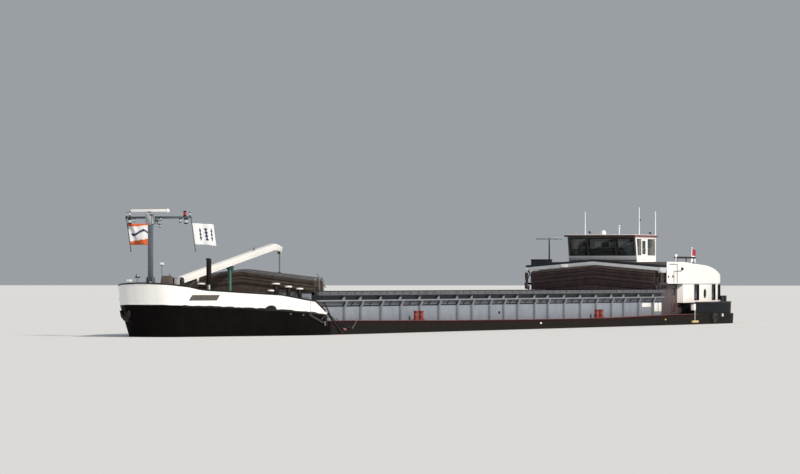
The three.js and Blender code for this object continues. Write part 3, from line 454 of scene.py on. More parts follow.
hull = mesh_object("hull_shell", [(black_paint, [loft(
    [*stern_rings([*UNDERBODY, SIDE_DECK_AFT - BAND_DEPTH, SIDE_DECK_AFT])[::-1], *waist_rings,
     *bow_rings(lambda x: [*UNDERBODY, deck_at_break - BAND_DEPTH, deck_at_break])])])])
for coat in (band_paint, deck_paint, hold_steel, side_paint):
    hull.data.materials.append(coat)
trim(hull, [slab(hold_x0, hold_x1, -hold_half, hold_half, TANK_TOP, 3), UNDER_COUNTER])
finish_piece(hull, "ship", ["hull"], 0.0, 30, hull_coat)
forecastle = mesh_object("forecastle_shell", [(black_paint, [
    loft(bow_rings(lambda x: [deck_at_break, along(BOW_PAINT, x, 2) - 0.001]))])])
trim(forecastle, [ABAFT_BREAK])
finish_piece(forecastle, "ship", (), 0.0, 30)

# The gunwale bar is a flat bar welded round the edge of the side deck
gunwale = []
gunwale_xs = [BAND_AFT, *[row[0] for row in SHEER], BREAK]
for x_pair in zip(gunwale_xs, gunwale_xs[1:]):
    edge = [(x, along(SHEER, x)) for x in x_pair]
    outline = [(x, z - 0.01) for x, z in edge] + [(x, z + 0.02) for x, z in edge[::-1]]
    gunwale.append(drawn_out(outline, "y", 4.52, 4.63))
# Pinkish red where the deck paint on its top edge has faded
gunwale_paint = marine_paint("faded_red_gunwale_paint",
                             "#5a3b3b", "#7c5a58", "#332222", 0.65, 0.4, 400, 0.0, 0.2)
piece("gunwale_bar", "ship", [(gunwale_paint, both(gunwale))], bevel=0.01)


# Bow bulwark
# Enamelled steel plating round the foredeck, welded on top of the black shell, with the deck plate
# inside it and a black bar along its top. The name plate on each side is left blank.
FORE_DECK = 1.54
BULWARK_PLATE = 0.12
# x0, x1, lowest z, highest z
NAME_PLATE = (36.3, 38.1, 1.72, 1.97)
PLATE_LEAN = 0.14
# x, half width, foot and rise of the arch round the rope's opening
FAIRLEAD = (32.84, 0.37, 1.19, 0.27)
DRAIN_BOLTS = [(30.0, 1.09), (30.62, 1.0), (31.52, 1.05)]
PLATE_SEAM_X = 30.06
ANCHOR_POCKET = (38.35, 39.02, 0.72, 1.5)
CORNER_X = 29.62
CORNER_Y = 3.86


def bar_section(width, height):
    a, b = width / 2, height / 2
    return [(-a, -b), (a, -b), (a, b), (-a, b)]


def round_section(radius, sides=8):
    turns = [2 * math.pi * i / sides for i in range(sides)]
    return [(radius * math.cos(t), radius * math.sin(t)) for t in turns]


def swept(path, section):
    """Bar or pipe of a given section along a path, with its width kept level where it can be."""
    spots = [Vector(point) for point in path]
    above = Vector((0.6, 0.8, 0))
    rings = []
    for i, spot in enumerate(spots):
        steps = [b - a for a, b in ((spots[max(i - 1, 0)], spot), (spot, spots[min(i + 1, len(spots) - 1)]))]
        ahead = sum((step.normalized() for step in steps if step.length > 0), Vector()).normalized()
        level = Vector((0, 0, 1)) - ahead * ahead.z
        above = level if level.length > 0.3 else above - ahead * ahead.dot(above)
        above.normalize()
        across = ahead.cross(above)
        rings.append([spot + across * a + above * b for a, b in section])
    return skin(rings)


def bow_side(x, z, out=0.0):
    """Point of the port bow plating at an x and z, moved out from it."""
    root, tip = fine_bow[0][0], fine_bow[-1][0]
    station = root + (x - root) * (tip - root) / (along(STEM_PROFILE, z) - root)
    row = [station, *(along(fine_bow, station, column) for column in (1, 2, 3))]
    return (x, half_breadth(row, z, BOW_FLARE) + out, z)


def bow_plate(columns, proud):
    """Plate that follows the bow side: columns holds its (x, lowest z, highest z)."""
    rings = []
    for x, low, high in columns:
        rings.append([bow_side(x, low, -0.03), bow_side(x, high, -0.03), bow_side(x, high, proud),
                      bow_side(x, low, proud)])
    return skin(rings)


# Gloss enamel, almost pure white, with faint grey water trails under the rail
white_enamel = marine_paint("white_gloss_ship_enamel", "#f6f7f5", "#eceeee", "#a99f94", 0.3, 0.14, 1600, 0.06)
# Thin black trim with rubbed edges
black_trim = marine_paint("black_trim_enamel", "#0e0e10", "#19191b", "#352d28", 0.45, 0.25, 400, 0.0, 0.3)
# Dull steel rubbed bare by ropes, brown in its corners
rubbed_steel = marine_paint("rope_rubbed_bare_steel", "#4f4032", "#6b5a48", "#31271f", 0.5, 0.3, 200)

# Blue grey paint, chalky, streaked with rust and coal dust: on the hold's coaming and the deck's after corner
panel_paint = marine_paint("chalky_blue_grey_coaming_paint",
                           "#8b95a3", "#7e8896", "#615d59", 0.5, 0.3, 900, 0.1)

bulwark = mesh_object("bow_bulwark_plating", [(white_enamel, [loft(bow_rings(
    lambda x: [along(BOW_PAINT, x, 2), (along(BOW_PAINT, x) + along(BOW_PAINT, x, 2)) / 2,
               along(BOW_PAINT, x)]))])])
for coat in (deck_paint, panel_paint):
    bulwark.data.materials.append(coat)
trim(bulwark, [loft(bow_rings(lambda x: [FORE_DECK, 2.1, 3], BULWARK_PLATE))])
trim(bulwark, [loft(bow_rings(lambda x: [along(BOW_PAINT, x, 2), FORE_DECK], BULWARK_PLATE / 2))], "UNION")
# Outboard of the coaming the deck ends lower, along the slope of the rail
corner = drawn_out([(28.0, 1.06), (CORNER_X, 1.68), (CORNER_X, 3), (28.0, 3)], "y", CORNER_Y, 5)
trim(bulwark, [ABAFT_BREAK, *both([corner])])


# Slots of the bulwark: 0 white, 1 deck, 2 grey at the after corner
def bulwark_coat(centre, normal):
    if normal.z > 0.95 and centre.z < FORE_DECK + 0.05:
        return 1
    return 2 if centre.x < CORNER_X and abs(abs(centre.y) - CORNER_Y) < 0.02 else 0


finish_piece(bulwark, "ship", ["bow_bulwark"], 0.0, 30, bulwark_coat)

rail_ring = [ring[0] for ring in bow_rings(lambda x: [along(BOW_PAINT, x)], 0.04)]
rail_path = [point for point in rail_ring if point[0] >= BREAK]
rail_path += [(x, -y, z) for x, y, z in rail_path[::-1]]
trim_shapes = [swept(rail_path, bar_section(0.12, 0.07))]
plate_x0, plate_x1, plate_z0, plate_z1 = NAME_PLATE
# The plate's ends lean aft, so its lower edge starts and ends further forward
name_plate = []
for x in np.linspace(plate_x0 - PLATE_LEAN, plate_x1, 25):
    name_plate.append((x, plate_z0 + (plate_z1 - plate_z0) * min(max((plate_x0 - x) / PLATE_LEAN, 0), 0.95),
                       plate_z1 - (plate_z1 - plate_z0) * min(max((x - plate_x1) / PLATE_LEAN + 1, 0), 0.95)))
fair_x, fair_half, fair_z, fair_rise = FAIRLEAD
arch = [(fair_x + fair_half * t, fair_z, fair_z + fair_rise * math.sqrt(1.02 - t * t))
        for t in np.linspace(-1, 1, 11)]
mouth = [(fair_x + 0.24 * t, fair_z + 0.04, fair_z + 0.04 + 0.13 * math.sqrt(1.02 - t * t))
         for t in np.linspace(-1, 1, 9)]
# The black edge is brushed on by hand, so it runs a little up and down
paint_random = random.Random(4)
edge = [(x, along(BOW_PAINT, x, 2) - 0.06, along(BOW_PAINT, x, 2) + paint_random.uniform(0.0, 0.045))
        for x in np.arange(BREAK + 0.1, 38.7, 0.22)]
port_shapes = [bow_plate(arch, 0.03), bow_plate(mouth, 0.045), bow_plate(edge, 0.006)]
port_shapes.append(bow_plate([(PLATE_SEAM_X, 1.14, 1.68), (PLATE_SEAM_X + 0.025, 1.14, 1.68)], 0.006))
# The anchor pocket is to starboard only
pocket_x0, pocket_x1, pocket_low, pocket_top = ANCHOR_POCKET
pocket = bow_plate([(x, pocket_low, pocket_top - 0.35 * abs(x - 38.75))
                    for x in np.linspace(pocket_x0, pocket_x1, 7)], 0.008)
trim_shapes += [*both(port_shapes), mirrored(pocket)]
bolts = [bow_plate([(x + dx, z - 0.04, z + 0.04) for dx in (-0.05, 0.05)], 0.03) for x, z in DRAIN_BOLTS]
# Name plate of brown grey enamel, its lettering left off
plate_paint = marine_paint("brown_grey_name_plate_enamel", "#4d4a45", "#605c55", "#33302c", 0.5, 0.2, 300)
piece("bow_trim", "ship",
      [(black_trim, trim_shapes), (rubbed_steel, both(bolts)),
       (plate_paint, both([bow_plate(name_plate, 0.03)]))], bevel=0.004)


# Foredeck gear
# Small steel gear bolted or welded to the foredeck: windlass under its riveted cover, ventilators with
# white lids, engine exhaust, work light, bell post, cleats, and steps with handrails down to the side deck.
WINDLASS_X = 36.9
# x, y, top of the galvanised neck, top of the pipe
EXHAUST = (36.0, 1.85, 2.45, 3.62)
# The slewing crane's centre, the height of its boom's pin and the slope of the stowed boom
CRANE_X = 35.42
BOOM_PIN = 2.64
BOOM_TILT = math.radians(8.6)
BOOM_REST_X = 29.43
# From the boom's axis down to the rubber pad of the rest
REST_DROP = 0.162 + 0.03
# x, y, top and radius of each ventilator
VENTS = [(28.43, 2.0, 2.53, 0.18), (29.2, 3.0, 2.39, 0.16), (28.3, 3.2, 2.29, 0.16), (30.4, 2.6, 2.2, 0.14)]
# x, y and top
WORK_LIGHT = (35.13, -1.0, 3.51)
BELL_POST = (38.7, -0.6, 2.94)


def turned(profile, at, towards=(0, 0, 1), sides=24):
    """Turned shape about a line through a point: profile holds (radius, distance along) pairs."""
    turn = Vector(towards).to_track_quat("Z", "Y")
    hoop = profile[0] == profile[-1]
    rings = []
    for radius, reach in (profile[:-1] if hoop else profile):
        rings.append([Vector(at) + turn @ Vector((a, b, reach))
                      for a, b in round_section(max(radius, 0.002), sides)])
    return skin(rings, hoop)


def upright(x, y, foot, top, radius, sides=8):
    """Round post between two heights."""
    return rod((x, y, foot), (x, y, top), radius, sides)


def cross_bar(x, z, y0, y1, radius, sides=16):
    """Round bar across the ship."""
    return rod((x, y0, z), (x, y1, z), radius, sides)


def rod(start, end, radius, sides=12, end_radius=None):
    """Round bar between two points, tapered where an end radius is given."""
    run = Vector(end) - Vector(start)
    tip = radius if end_radius is None else end_radius
    return turned([(radius, 0), (tip, run.length)], start, run, sides)


def metal(name, colour, worn, roughness, grain_mm=60):
    """Bare metal: no coat, so the tone wanders with its oxide and the grain is seen in the gloss."""
    material, tree = new_material(name)
    where = add_node(tree, "TexCoord").outputs["Object"]
    oxide = add_node(tree, "TexNoise", {"Vector": where, "Scale": per(420), "Detail": 6.0})
    tint = add_node(tree, "Mix", {"Factor": oxide, 6: srgb(colour), 7: srgb(worn)}, data_type="RGBA")
    grain = add_node(tree, "TexVoronoi", {"Vector": where, "Scale": per(grain_mm)})
    gloss = add_node(tree, "MapRange", {"Value": grain, "To Min": roughness - 0.08,
                                        "To Max": roughness + 0.12})
    dents = add_node(tree, "Bump", {"Height": grain, "Strength": 0.12, "Distance": 0.002})
    shader = add_node(tree, "BsdfPrincipled", {"Base Color": tint.outputs[2], "Metallic": 1.0,
                                               "Roughness": gloss, "Normal": dents})
    add_node(tree, "OutputMaterial", {"Surface": shader})
    return material


# Hot dip galvanised steel: grey zinc crystals, drawn coarser than the real 15 mm so that they show
galvanised = metal("hot_dip_galvanised_steel", "#a4a8aa", "#84888b", 0.45, 60)
# Soot blackened steel pipe, dry and rough
sooty_steel = marine_paint("sooty_exhaust_steel", "#131111", "#221d1b", "#3a2d25", 0.75, 0.5, 300, 0.0, 0.2)
# Brown grey machine paint over cast and riveted steel, with grease at the joints
machine_paint = marine_paint("greasy_brown_grey_machine_paint",
                             "#574e48", "#6a605a", "#352c28", 0.5, 0.5, 500)
# Sea green brush paint
green_paint = marine_paint("sea_green_brush_paint", "#2c5f52", "#3b7263", "#27342f", 0.5, 0.3, 400)

wx = WINDLASS_X
windlass = [slab(wx - 0.5, wx + 0.5, -0.7, 0.7, FORE_DECK, FORE_DECK + 0.12),
            drawn_out(shifted([(-0.38, FORE_DECK + 0.12), (-0.38, 2.6), (-0.3, 2.84), (-0.1, 2.88),
                               (0.04, 2.55), (0.04, FORE_DECK + 0.12)], wx), "y", -0.24, 0.24)]
chain_gear = []
for side in (1, -1):
    windlass.append(turned([(0.28, 0), (0.28, 0.05), (0.17, 0.09), (0.17, 0.3), (0.27, 0.36), (0.27, 0.4)],
                           (wx, 0.3 * side, FORE_DECK + 0.45), (0, side, 0), 28))
    windlass.append(slab(wx - 0.09, wx + 0.09, 0.22 * side, 0.32 * side, FORE_DECK, 2.3))
    for height in (1.9, 2.15, 2.4):
        for dx in (-0.32, -0.2, -0.08):
            chain_gear.append(cross_bar(wx + dx, height, 0.235 * side, 0.257 * side, 0.018, 6))
chain_gear.append(turned([(0.3, -0.04), (0.33, -0.03), (0.33, 0.03), (0.3, 0.04), (0.3, -0.04)],
                         (wx, -0.5, FORE_DECK + 0.45), (0, 1, 0), 28))


def chain(start, end, link, wire):
    """Oval links from one point to another, each a quarter turn from the last."""
    first, run = Vector(start), Vector(end) - Vector(start)
    ahead = run.normalized()
    side = ahead.orthogonal().normalized()
    links = []
    for k in range(max(round(run.length / (link * 0.72)), 1)):
        centre = first + ahead * link * (0.5 + 0.72 * k)
        across = side if k % 2 else ahead.cross(side)
        up = ahead.cross(across)
        rings = []
        for t in np.arange(10) * math.pi / 5:
            out = ahead * math.cos(t) + across * math.sin(t)
            spot = centre + ahead * math.cos(t) * (link / 2 - wire) + across * math.sin(t) * link / 3.2
            rings.append([spot + (out * math.cos(u) + up * math.sin(u)) * wire for u in (0, 2.1, 4.2)])
        links.append(skin(rings, True))
    return links


chain_gear += chain((wx + 0.28, -0.5, FORE_DECK + 0.5), (38.3, -0.9, FORE_DECK + 0.12), 0.19, 0.026)
piece("anchor_windlass_works", "ship", [(machine_paint, windlass), (rubbed_steel, chain_gear)],
      ["anchor_windlass"], 0.012)

ex, ey, neck, top = EXHAUST
piece("exhaust_stack", "ship",
      [(galvanised, [turned([(0.15, 0), (0.15, 0.03), (0.085, 0.05), (0.085, neck - FORE_DECK + 0.02)],
                            (ex, ey, FORE_DECK))]),
       (sooty_steel, [turned([(0.09, 0), (0.12, 0.03), (0.12, top - neck), (0.1, top - neck), (0.1, 0.1),
                              (0.09, 0)], (ex, ey, neck)),
                      turned([(0.128, 0), (0.128, 0.05), (0.12, 0.05), (0.12, 0), (0.128, 0)],
                             (ex, ey, neck + 0.35)),
                      drawn_out(shifted([(-0.13, 0.005), (0.13, 0.005), (0.1, 0.09), (-0.06, 0.04)], ex, top),
                                "y", ey - 0.1, ey + 0.1)])],
      ["bow_exhaust"], 0.004)

rest_top = BOOM_PIN + (CRANE_X - BOOM_REST_X) * math.tan(BOOM_TILT) - REST_DROP
rx = BOOM_REST_X
rest = [turned([(0.16, 0), (0.16, 0.02), (0.075, 0.03), (0.07, rest_top - FORE_DECK - 0.12)],
               (rx, 0, FORE_DECK)),
        slab(rx - 0.07, rx + 0.07, -0.18, 0.18, rest_top - 0.14, rest_top - 0.03)]
rest += both([drawn_out(shifted([(0.02, -0.13), (0.17, -0.13), (0.05, -0.45)], 0, rest_top),
                        "x", rx - 0.012, rx + 0.012)])
# Moulded black rubber, dull and slightly grey with dust
rubber = marine_paint("dusty_black_rubber", "#131314", "#201f1f", "#3f3933", 0.82, 0.25, 250, 0.0, 0.25)
piece("boom_cradle", "ship",
      [(green_paint, rest), (rubber, [slab(rx - 0.06, rx + 0.06, -0.17, 0.17, rest_top - 0.03, rest_top)])],
      ["boom_rest"], 0.006)

vents, lids, necks = [], [], []
for x, y, top, radius in VENTS:
    for side in (1, -1):
        necks.append(upright(x, y * side, FORE_DECK, top - 0.07, radius * 0.7, 16))
        lids.append(turned([(radius * 0.9, -0.08), (radius * 1.15, -0.07), (radius * 1.15, -0.02),
                            (radius * 0.9, 0), (0, 0.01)], (x, y * side, top)))
        necks.append(turned([(radius, 0), (radius, 0.03), (radius * 0.8, 0.05)], (x, y * side, FORE_DECK)))
lx, ly, ltop = WORK_LIGHT
vents += [upright(lx, ly, FORE_DECK, ltop - 0.1, 0.028),
          turned([(0.09, 0), (0.09, 0.02), (0.03, 0.05)], (lx, ly, FORE_DECK))]
lids.append(drawn_out(shifted([(-0.05, -0.14), (0.09, -0.1), (0.07, 0), (-0.06, -0.02)], lx, ltop),
                      "y", ly - 0.08, ly + 0.08))
lids.append(slab(38.72, 38.95, -1.05, -0.85, 2.6, 2.7))
bx, by, btop = BELL_POST
vents += [upright(bx, by, FORE_DECK, btop - 0.08, 0.03),
          cross_bar(bx, btop - 0.14, by - 0.13, by + 0.13, 0.035, 8)]
vents.append(turned([(0.0, 0), (0.1, 0.02), (0.08, 0.09), (0.05, 0.13), (0, 0.14)], (bx, by, btop - 0.12)))
for side in (1, -1):
    vents += [slab(29.2, 29.55, 3.95 * side, 4.05 * side, FORE_DECK, 1.78),
              rod((29.1, 4.0 * side, 1.8), (29.66, 4.0 * side, 1.8), 0.04, 8)]
piece("foredeck_fittings", "ship",
      [(galvanised, vents), (white_enamel, lids), (black_trim, necks)], bevel=0.006)

# Steps of bent plate lead from the foredeck down to the side deck behind a pipe handrail
steps, handrails = [], []
for side in (1, -1):
    for k in range(4):
        low = deck_at_break + 0.02 + k * 0.2
        steps.append(slab(BREAK - 0.85 + k * 0.22, BREAK - 0.55 + k * 0.22, 3.98 * side, 4.5 * side,
                          low + 0.14, low + 0.17))
    for y in (3.97, 4.5):
        stringer = [(BREAK - 0.9, deck_at_break), (BREAK - 0.7, deck_at_break),
                    (BREAK + 0.05, FORE_DECK - 0.1), (BREAK + 0.05, FORE_DECK)]
        handrails.append(drawn_out(stringer, "y", y * side, (y + 0.02) * side))
    handrails.append(swept([(x, 4.0 * side, z) for x, z in ((26.9, 1.35), (28.0, 2.35), (28.15, 1.56))],
                           round_section(0.026)))
    handrails.append(turned([(0.07, -0.28), (0.09, -0.22), (0.09, 0.22), (0.07, 0.28)],
                            (28.36, 4.6 * side, 0.72), sides=14))
piece("foredeck_steps", "ship", [(black_trim, handrails), (deck_paint, steps)], bevel=0.004)

# Pilot ladder of black painted pipe, slung from the bulwark's corner down to the water, with a red float,
# a boat hook and its line, and a roller and a brace on the shell where the bulwark ends
ladder, float_shapes, pale_rods, brace_shapes = [], [], [], []
for side in (1, -1):
    outer_rail = [(28.14, 4.61 * side, 1.05), (26.36, 4.65 * side, 0.08)]
    inner_rail = [(27.7, 4.61 * side, 0.92), (26.2, 4.65 * side, 0.24)]
    ladder += [swept(outer_rail, round_section(0.045)), swept(inner_rail, round_section(0.022))]
    for share in (0.2, 0.4, 0.6, 0.8):
        rung = [Vector(a).lerp(Vector(b), share) for a, b in (outer_rail, inner_rail)]
        ladder.append(rod(*rung, 0.012, 6))
    line = [(27.05 - 1.75 * t, (4.6 + 0.05 * t) * side, 0.8 - 0.47 * t - 0.1 * math.sin(math.pi * t))
            for t in np.linspace(0, 1, 9)]
    ladder.append(swept(line, round_section(0.018, 6)))
    float_shapes.append(turned([(0.02, -0.17), (0.055, -0.12), (0.062, 0), (0.055, 0.12), (0.02, 0.17)],
                               (25.95, 4.6 * side, 0.26), (1, 0, 0.1), 16))
    pale_rods += [rod((25.06, 4.64 * side, 0.3), (24.39, 4.64 * side, 0.76), 0.02, 8),
                  rod((28.3, 4.6 * side, 1.0), (28.87, 4.61 * side, 0.76), 0.014, 6),
                  rod((28.49, 4.62 * side, 0.45), (28.49, 4.62 * side, 0.66), 0.035, 12)]
    brace_shapes.append(swept([(30.2, 4.53 * side, 1.0), (28.66, 4.61 * side, 0.6)], bar_section(0.07, 0.1)))
# Dark grey steel brace, a little paler than the shell behind it
brace_paint = marine_paint("dull_dark_grey_brace_paint",
                           "#2c2b2d", "#3a3838", "#1d1a19", 0.55, 0.3, 300, 0.0, 0.3)
# Red plastic float, bleached by the sun
float_red = marine_paint("bleached_red_float_plastic", "#8f4447", "#a56260", "#523532", 0.5, 0.2, 150)
piece("side_ladder", "ship",
      [(black_trim, ladder), (brace_paint, brace_shapes), (galvanised, pale_rods), (float_red, float_shapes)],
      bevel=0.004)


# Anchor
# Stockless anchor of cast steel, blackened, hove up flat against the starboard bow with its shank
# in the hawse pocket. Its flukes are flat plates of even thickness.
# Its place, its turn about the vertical and its lean, in degrees
ANCHOR = ((38.93, -1.08, 0.98), 61, 8)


def moved(shape, matrix):
    return [tuple(matrix @ Vector(point)) for point in shape[0]], shape[1]


anchor_at, anchor_turn, anchor_lean = ANCHOR
hang = (Matrix.Translation(anchor_at) @ Matrix.Rotation(math.radians(anchor_turn), 4, "Z")
        @ Matrix.Rotation(math.radians(anchor_lean), 4, "X"))
flukes = []
for side in (1, -1):
    flukes.append(skin([[(side * x, y * thick, z) for x, z in ring] for y, thick, ring in (
        (-0.1, 1, [(0.13, -0.16), (0.3, -0.04), (0.35, 0.28), (0.25, 0.24), (0.15, 0.04)]),
        (0.1, 1, [(0.13, -0.16), (0.3, -0.04), (0.35, 0.28), (0.25, 0.24), (0.15, 0.04)]))]))
crown = [rod((-0.17, 0, -0.12), (0.17, 0, -0.12), 0.1, 16), slab(-0.14, 0.14, -0.09, 0.09, -0.2, 0.02)]
shank = [skin([[(a * w, b * w, z) for a, b in bar_section(2, 2)] for z, w in
               ((-0.1, 0.06), (0.3, 0.052), (0.49, 0.048))])]
# Black bitumen over cast steel, rough and mud stained
cast_black = marine_paint("rough_black_cast_steel",
                          "#171617", "#242120", "#463a30", 0.6, 0.45, 250, 0.0, 0.3)
piece("stockless_anchor", "ship",
      [(cast_black, [moved(shape, hang) for shape in (*flukes, *crown, *shank)])], ["bow_anchor"], 0.02)


# Bollards
# Pairs of cast steel posts with flared heads on a welded base plate: dark at the bow and stern,
# red amidships, where ropes have worn their waists to a paler red.
# x, y, deck height, height, radius, half spread, dark or red
BOLLARDS = {
    "fore": (33.4, 2.95, FORE_DECK, 0.45, 0.11, 0.3, "dark"),
    "mid_fore": (15.43, 4.3, None, 0.5, 0.12, 0.36, "red"),
    "mid_aft": (-12.17, 4.3, None, 0.5, 0.12, 0.36, "red"),
    "stern": (-35.6, 4.12, 1.3, 0.42, 0.1, 0.3, "dark"),
}
# Dark anthracite deck paint, satin
anthracite = marine_paint("anthracite_deck_enamel",
                          "#22262c", "#30353c", "#443c35", 0.45, 0.25, 300, 0.0, 0.35)
# Signal red that has browned
post_red = marine_paint("browned_signal_red_paint", "#76231f", "#8b342e", "#451816", 0.5, 0.3, 250)
# The same red polished to a pale rose by the ropes
rope_red = marine_paint("rope_worn_signal_red_paint", "#8f3c36", "#9e5046", "#552622", 0.4, 0.4, 150)
for name, (x, y, deck, height, radius, spread, paint) in BOLLARDS.items():
    if deck is None:
        deck = along(SHEER, x + spread + 2 * radius)
    for label, side in SIDES:
        posts, waists = [], []
        reach, wide = spread + radius * 1.6, radius * 1.3
        posts.append(slab(x - reach, x + reach, y * side - wide, y * side + wide, deck, deck + 0.04))
        for dx in (-spread, spread):
            post = [(radius * 1.3, 0.03), (radius * 1.3, 0.06), (radius, 0.09),
                    (radius * 0.97, height - 0.09),
                    (radius * 1.1, height - 0.05), (radius * 1.12, height - 0.02), (radius, height)]
            posts.append(turned(post, (x + dx, y * side, deck)))
            waists.append(turned([(radius * 0.98, height * 0.42), (radius * 1.01, height * 0.45),
                                  (radius * 1.0, height * 0.7), (radius * 0.97, height * 0.73)],
                                 (x + dx, y * side, deck)))
        piece(f"{name}_bollard_pair_{label}", "ship",
              {"dark": [(anthracite, posts + waists)], "red": [(post_red, posts), (rope_red, waists)]}[paint],
              [f"{name}_bollards_{label}"], 0.006)


# Mast
# Folding column of welded box section on a hinged post, with a gusseted head, a yard behind it and two
# slanting flag staffs. Navigation lights stand and hang on the yard.
MAST_X = 38.54
MAST_HINGE = 2.72
MAST_TOP = 5.82
YARD_HALF = 1.72
YARD_X = MAST_X - 0.89
YARD_Z = 5.62
STAFF_AFT = 0.5
STAFF_DOWN = 1.55
# Grey enamel on steel tube, glossy with grey washed edges; its grey is painted darker as shade
shade_darkened_mast_paint = marine_paint("shade_darkened_grey_mast_enamel", "#59616b", "#4f565f", "#3c3a38", 0.4, 0.2, 500)
pale_mast_paint = marine_paint("pale_grey_mast_head_enamel", "#a9aeb4", "#9aa0a6", "#6a6661", 0.38, 0.2, 500)
dark_enamel = marine_paint("dark_blue_grey_enamel", "#3a434c", "#4a535b", "#2b2b2c", 0.42, 0.2, 500)


def lamp_glass(name, colour):
    """Moulded lens glass, tinted right through, with pressed ribs."""
    material, tree = new_material(name)
    where = add_node(tree, "TexCoord").outputs["Object"]
    rows = add_node(tree, "Mapping", {"Vector": where, "Scale": (0, 0, per(25))})
    ribs = add_node(tree, "TexWave", {"Vector": rows, "Scale": 0.314}, bands_direction="Z")
    lens = add_node(tree, "Bump", {"Height": ribs.outputs["Fac"], "Strength": 0.3, "Distance": 0.004})
    speck = add_node(tree, "TexNoise", {"Vector": where, "Scale": per(60)})
    tint = add_node(tree, "Mix", {"Factor": speck, 6: srgb(colour),
                                  7: [0.8 * part for part in srgb(colour)[:3]] + [1.0]}, data_type="RGBA")
    shader = add_node(tree, "BsdfPrincipled", {"Base Color": tint.outputs[2], "Roughness": 0.12, "IOR": 1.5,
                                               "Transmission Weight": 0.35, "Normal": lens})
    add_node(tree, "OutputMaterial", {"Surface": shader})
    return material


# Ruby lens: deep red with a bright glint; clear lens: pale and watery
red_glass = lamp_glass("ruby_lens_glass", "#d0222c")
clear_glass = lamp_glass("clear_lens_glass", "#dfe6ea")


def lantern(x, y, z, radius, height, up=1):
    """Body, lens and cap of a round navigation light that stands or hangs at a point."""
    frame_shapes = [turned([(radius, 0), (radius, height * 0.25), (radius * 0.8, height * 0.27)], (x, y, z),
                           (0, 0, up), 14),
                    turned([(radius * 1.05, height * 0.8), (radius * 0.9, height), (0, height * 1.04)],
                           (x, y, z), (0, 0, up), 14)]
    lens = turned([(radius * 0.85, height * 0.24), (radius * 0.95, height * 0.5),
                   (radius * 0.85, height * 0.82)], (x, y, z), (0, 0, up), 14)
    return frame_shapes, lens


post = [slab(MAST_X - 0.16, MAST_X + 0.16, -0.17, 0.17, FORE_DECK, MAST_HINGE - 0.32)]
mast_cheek = [(-0.16, 2.32), (0.16, 2.32), (0.16, 2.7), (0.08, 2.83), (-0.08, 2.83), (-0.16, 2.7)]
for side in (1, -1):
    post += [drawn_out(shifted(mast_cheek, MAST_X), "y", 0.13 * side, 0.17 * side),
             cross_bar(MAST_X, MAST_HINGE, 0.11 * side, 0.168 * side, 0.05),
             drawn_out(shifted([(-0.32, FORE_DECK), (-0.16, FORE_DECK), (-0.16, 1.95)], MAST_X),
                       "y", 0.1 * side, 0.13 * side)]
piece("mast_tabernacle", "ship", [(shade_darkened_mast_paint, post)], ["mast_post"], 0.008)

column = [slab(MAST_X - 0.1, MAST_X + 0.1, -0.095, 0.095, MAST_HINGE - 0.11, MAST_TOP - 0.04)]
for height in (3.3, 4.1, 4.9):
    column.append(slab(MAST_X - 0.108, MAST_X + 0.108, -0.1, 0.1, height, height + 0.03))
head = [drawn_out(shifted([(-0.1, -0.55), (0.1, -0.55), (0.4, -0.06), (0.4, 0), (-0.1, 0)], MAST_X, MAST_TOP),
                  "y", -0.075, 0.075),
        slab(MAST_X - 0.12, MAST_X + 0.35, -0.2, 0.2, MAST_TOP - 0.05, MAST_TOP),
        slab(MAST_X - 0.25, MAST_X + 0.06, -0.24, 0.1, MAST_TOP - 0.5, MAST_TOP - 0.06)]
arm = [(MAST_X - 0.05, YARD_Z - 0.45), (MAST_X + 0.05, YARD_Z - 0.45), (YARD_X + 0.05, YARD_Z + 0.04),
       (YARD_X - 0.06, YARD_Z + 0.04), (YARD_X - 0.06, YARD_Z - 0.04)]
# The yard's starboard half is a dark sleeve, slightly thicker than the bar inside it
yard_port, yard_starboard = [
    skin([[(YARD_X + a * w, y, YARD_Z + b * w) for a, b in bar_section(2, 2)] for y, w in taper])
    for taper in (((-0.1, 0.06), (0.6, 0.055), (YARD_HALF, 0.045)),
                  ((-0.1, 0.062), (-0.6, 0.057), (-YARD_HALF, 0.047)))]
staffs = []
for side in (1, -1):
    y = (YARD_HALF - 0.04) * side
    staffs += [rod((YARD_X, y, YARD_Z), (YARD_X - STAFF_AFT, y, YARD_Z - STAFF_DOWN), 0.02, 8),
               turned([(0.0, 0), (0.035, 0.02), (0.035, 0.06), (0, 0.08)],
                      (YARD_X - STAFF_AFT, y, YARD_Z - STAFF_DOWN - 0.06), sides=10)]
lamp_bodies, red_lenses, clear_lenses = [], [], []
for y, up, radius, height, lenses in (
        (1.36, 1, 0.075, 0.26, red_lenses), (1.62, 1, 0.04, 0.2, clear_lenses),
        (1.42, -1, 0.1, 0.26, clear_lenses), (1.12, -1, 0.07, 0.2, clear_lenses),
        (-1.5, 1, 0.045, 0.24, clear_lenses), (-1.66, 1, 0.035, 0.2, clear_lenses),
        (-1.5, -1, 0.09, 0.24, clear_lenses), (-1.25, -1, 0.05, 0.16, clear_lenses)):
    bodies, lens = lantern(YARD_X, y, YARD_Z + 0.045 * up, radius, height, up)
    lamp_bodies += bodies
    lenses.append(lens)
for y, z in ((0.22, 5.45), (0.34, 5.62), (0.3, 5.3), (-0.3, 5.62), (-0.24, 5.42)):
    bodies, lens = lantern(YARD_X + 0.5, y, z, 0.055, 0.15, -1)
    lamp_bodies += bodies
    clear_lenses.append(lens)
    lamp_bodies.append(rod((YARD_X + 0.5, y, z), (YARD_X + 0.5, y * 0.3, z + 0.02), 0.015, 6))
piece("mast_column", "mast",
      [(shade_darkened_mast_paint, [*column, drawn_out(arm, "y", -0.05, 0.05), yard_port]), (pale_mast_paint, head),
       (dark_enamel, [yard_starboard, *staffs]),
       (black_trim, lamp_bodies), (red_glass, red_lenses), (clear_glass, clear_lenses)], ["foremast"], 0.006)

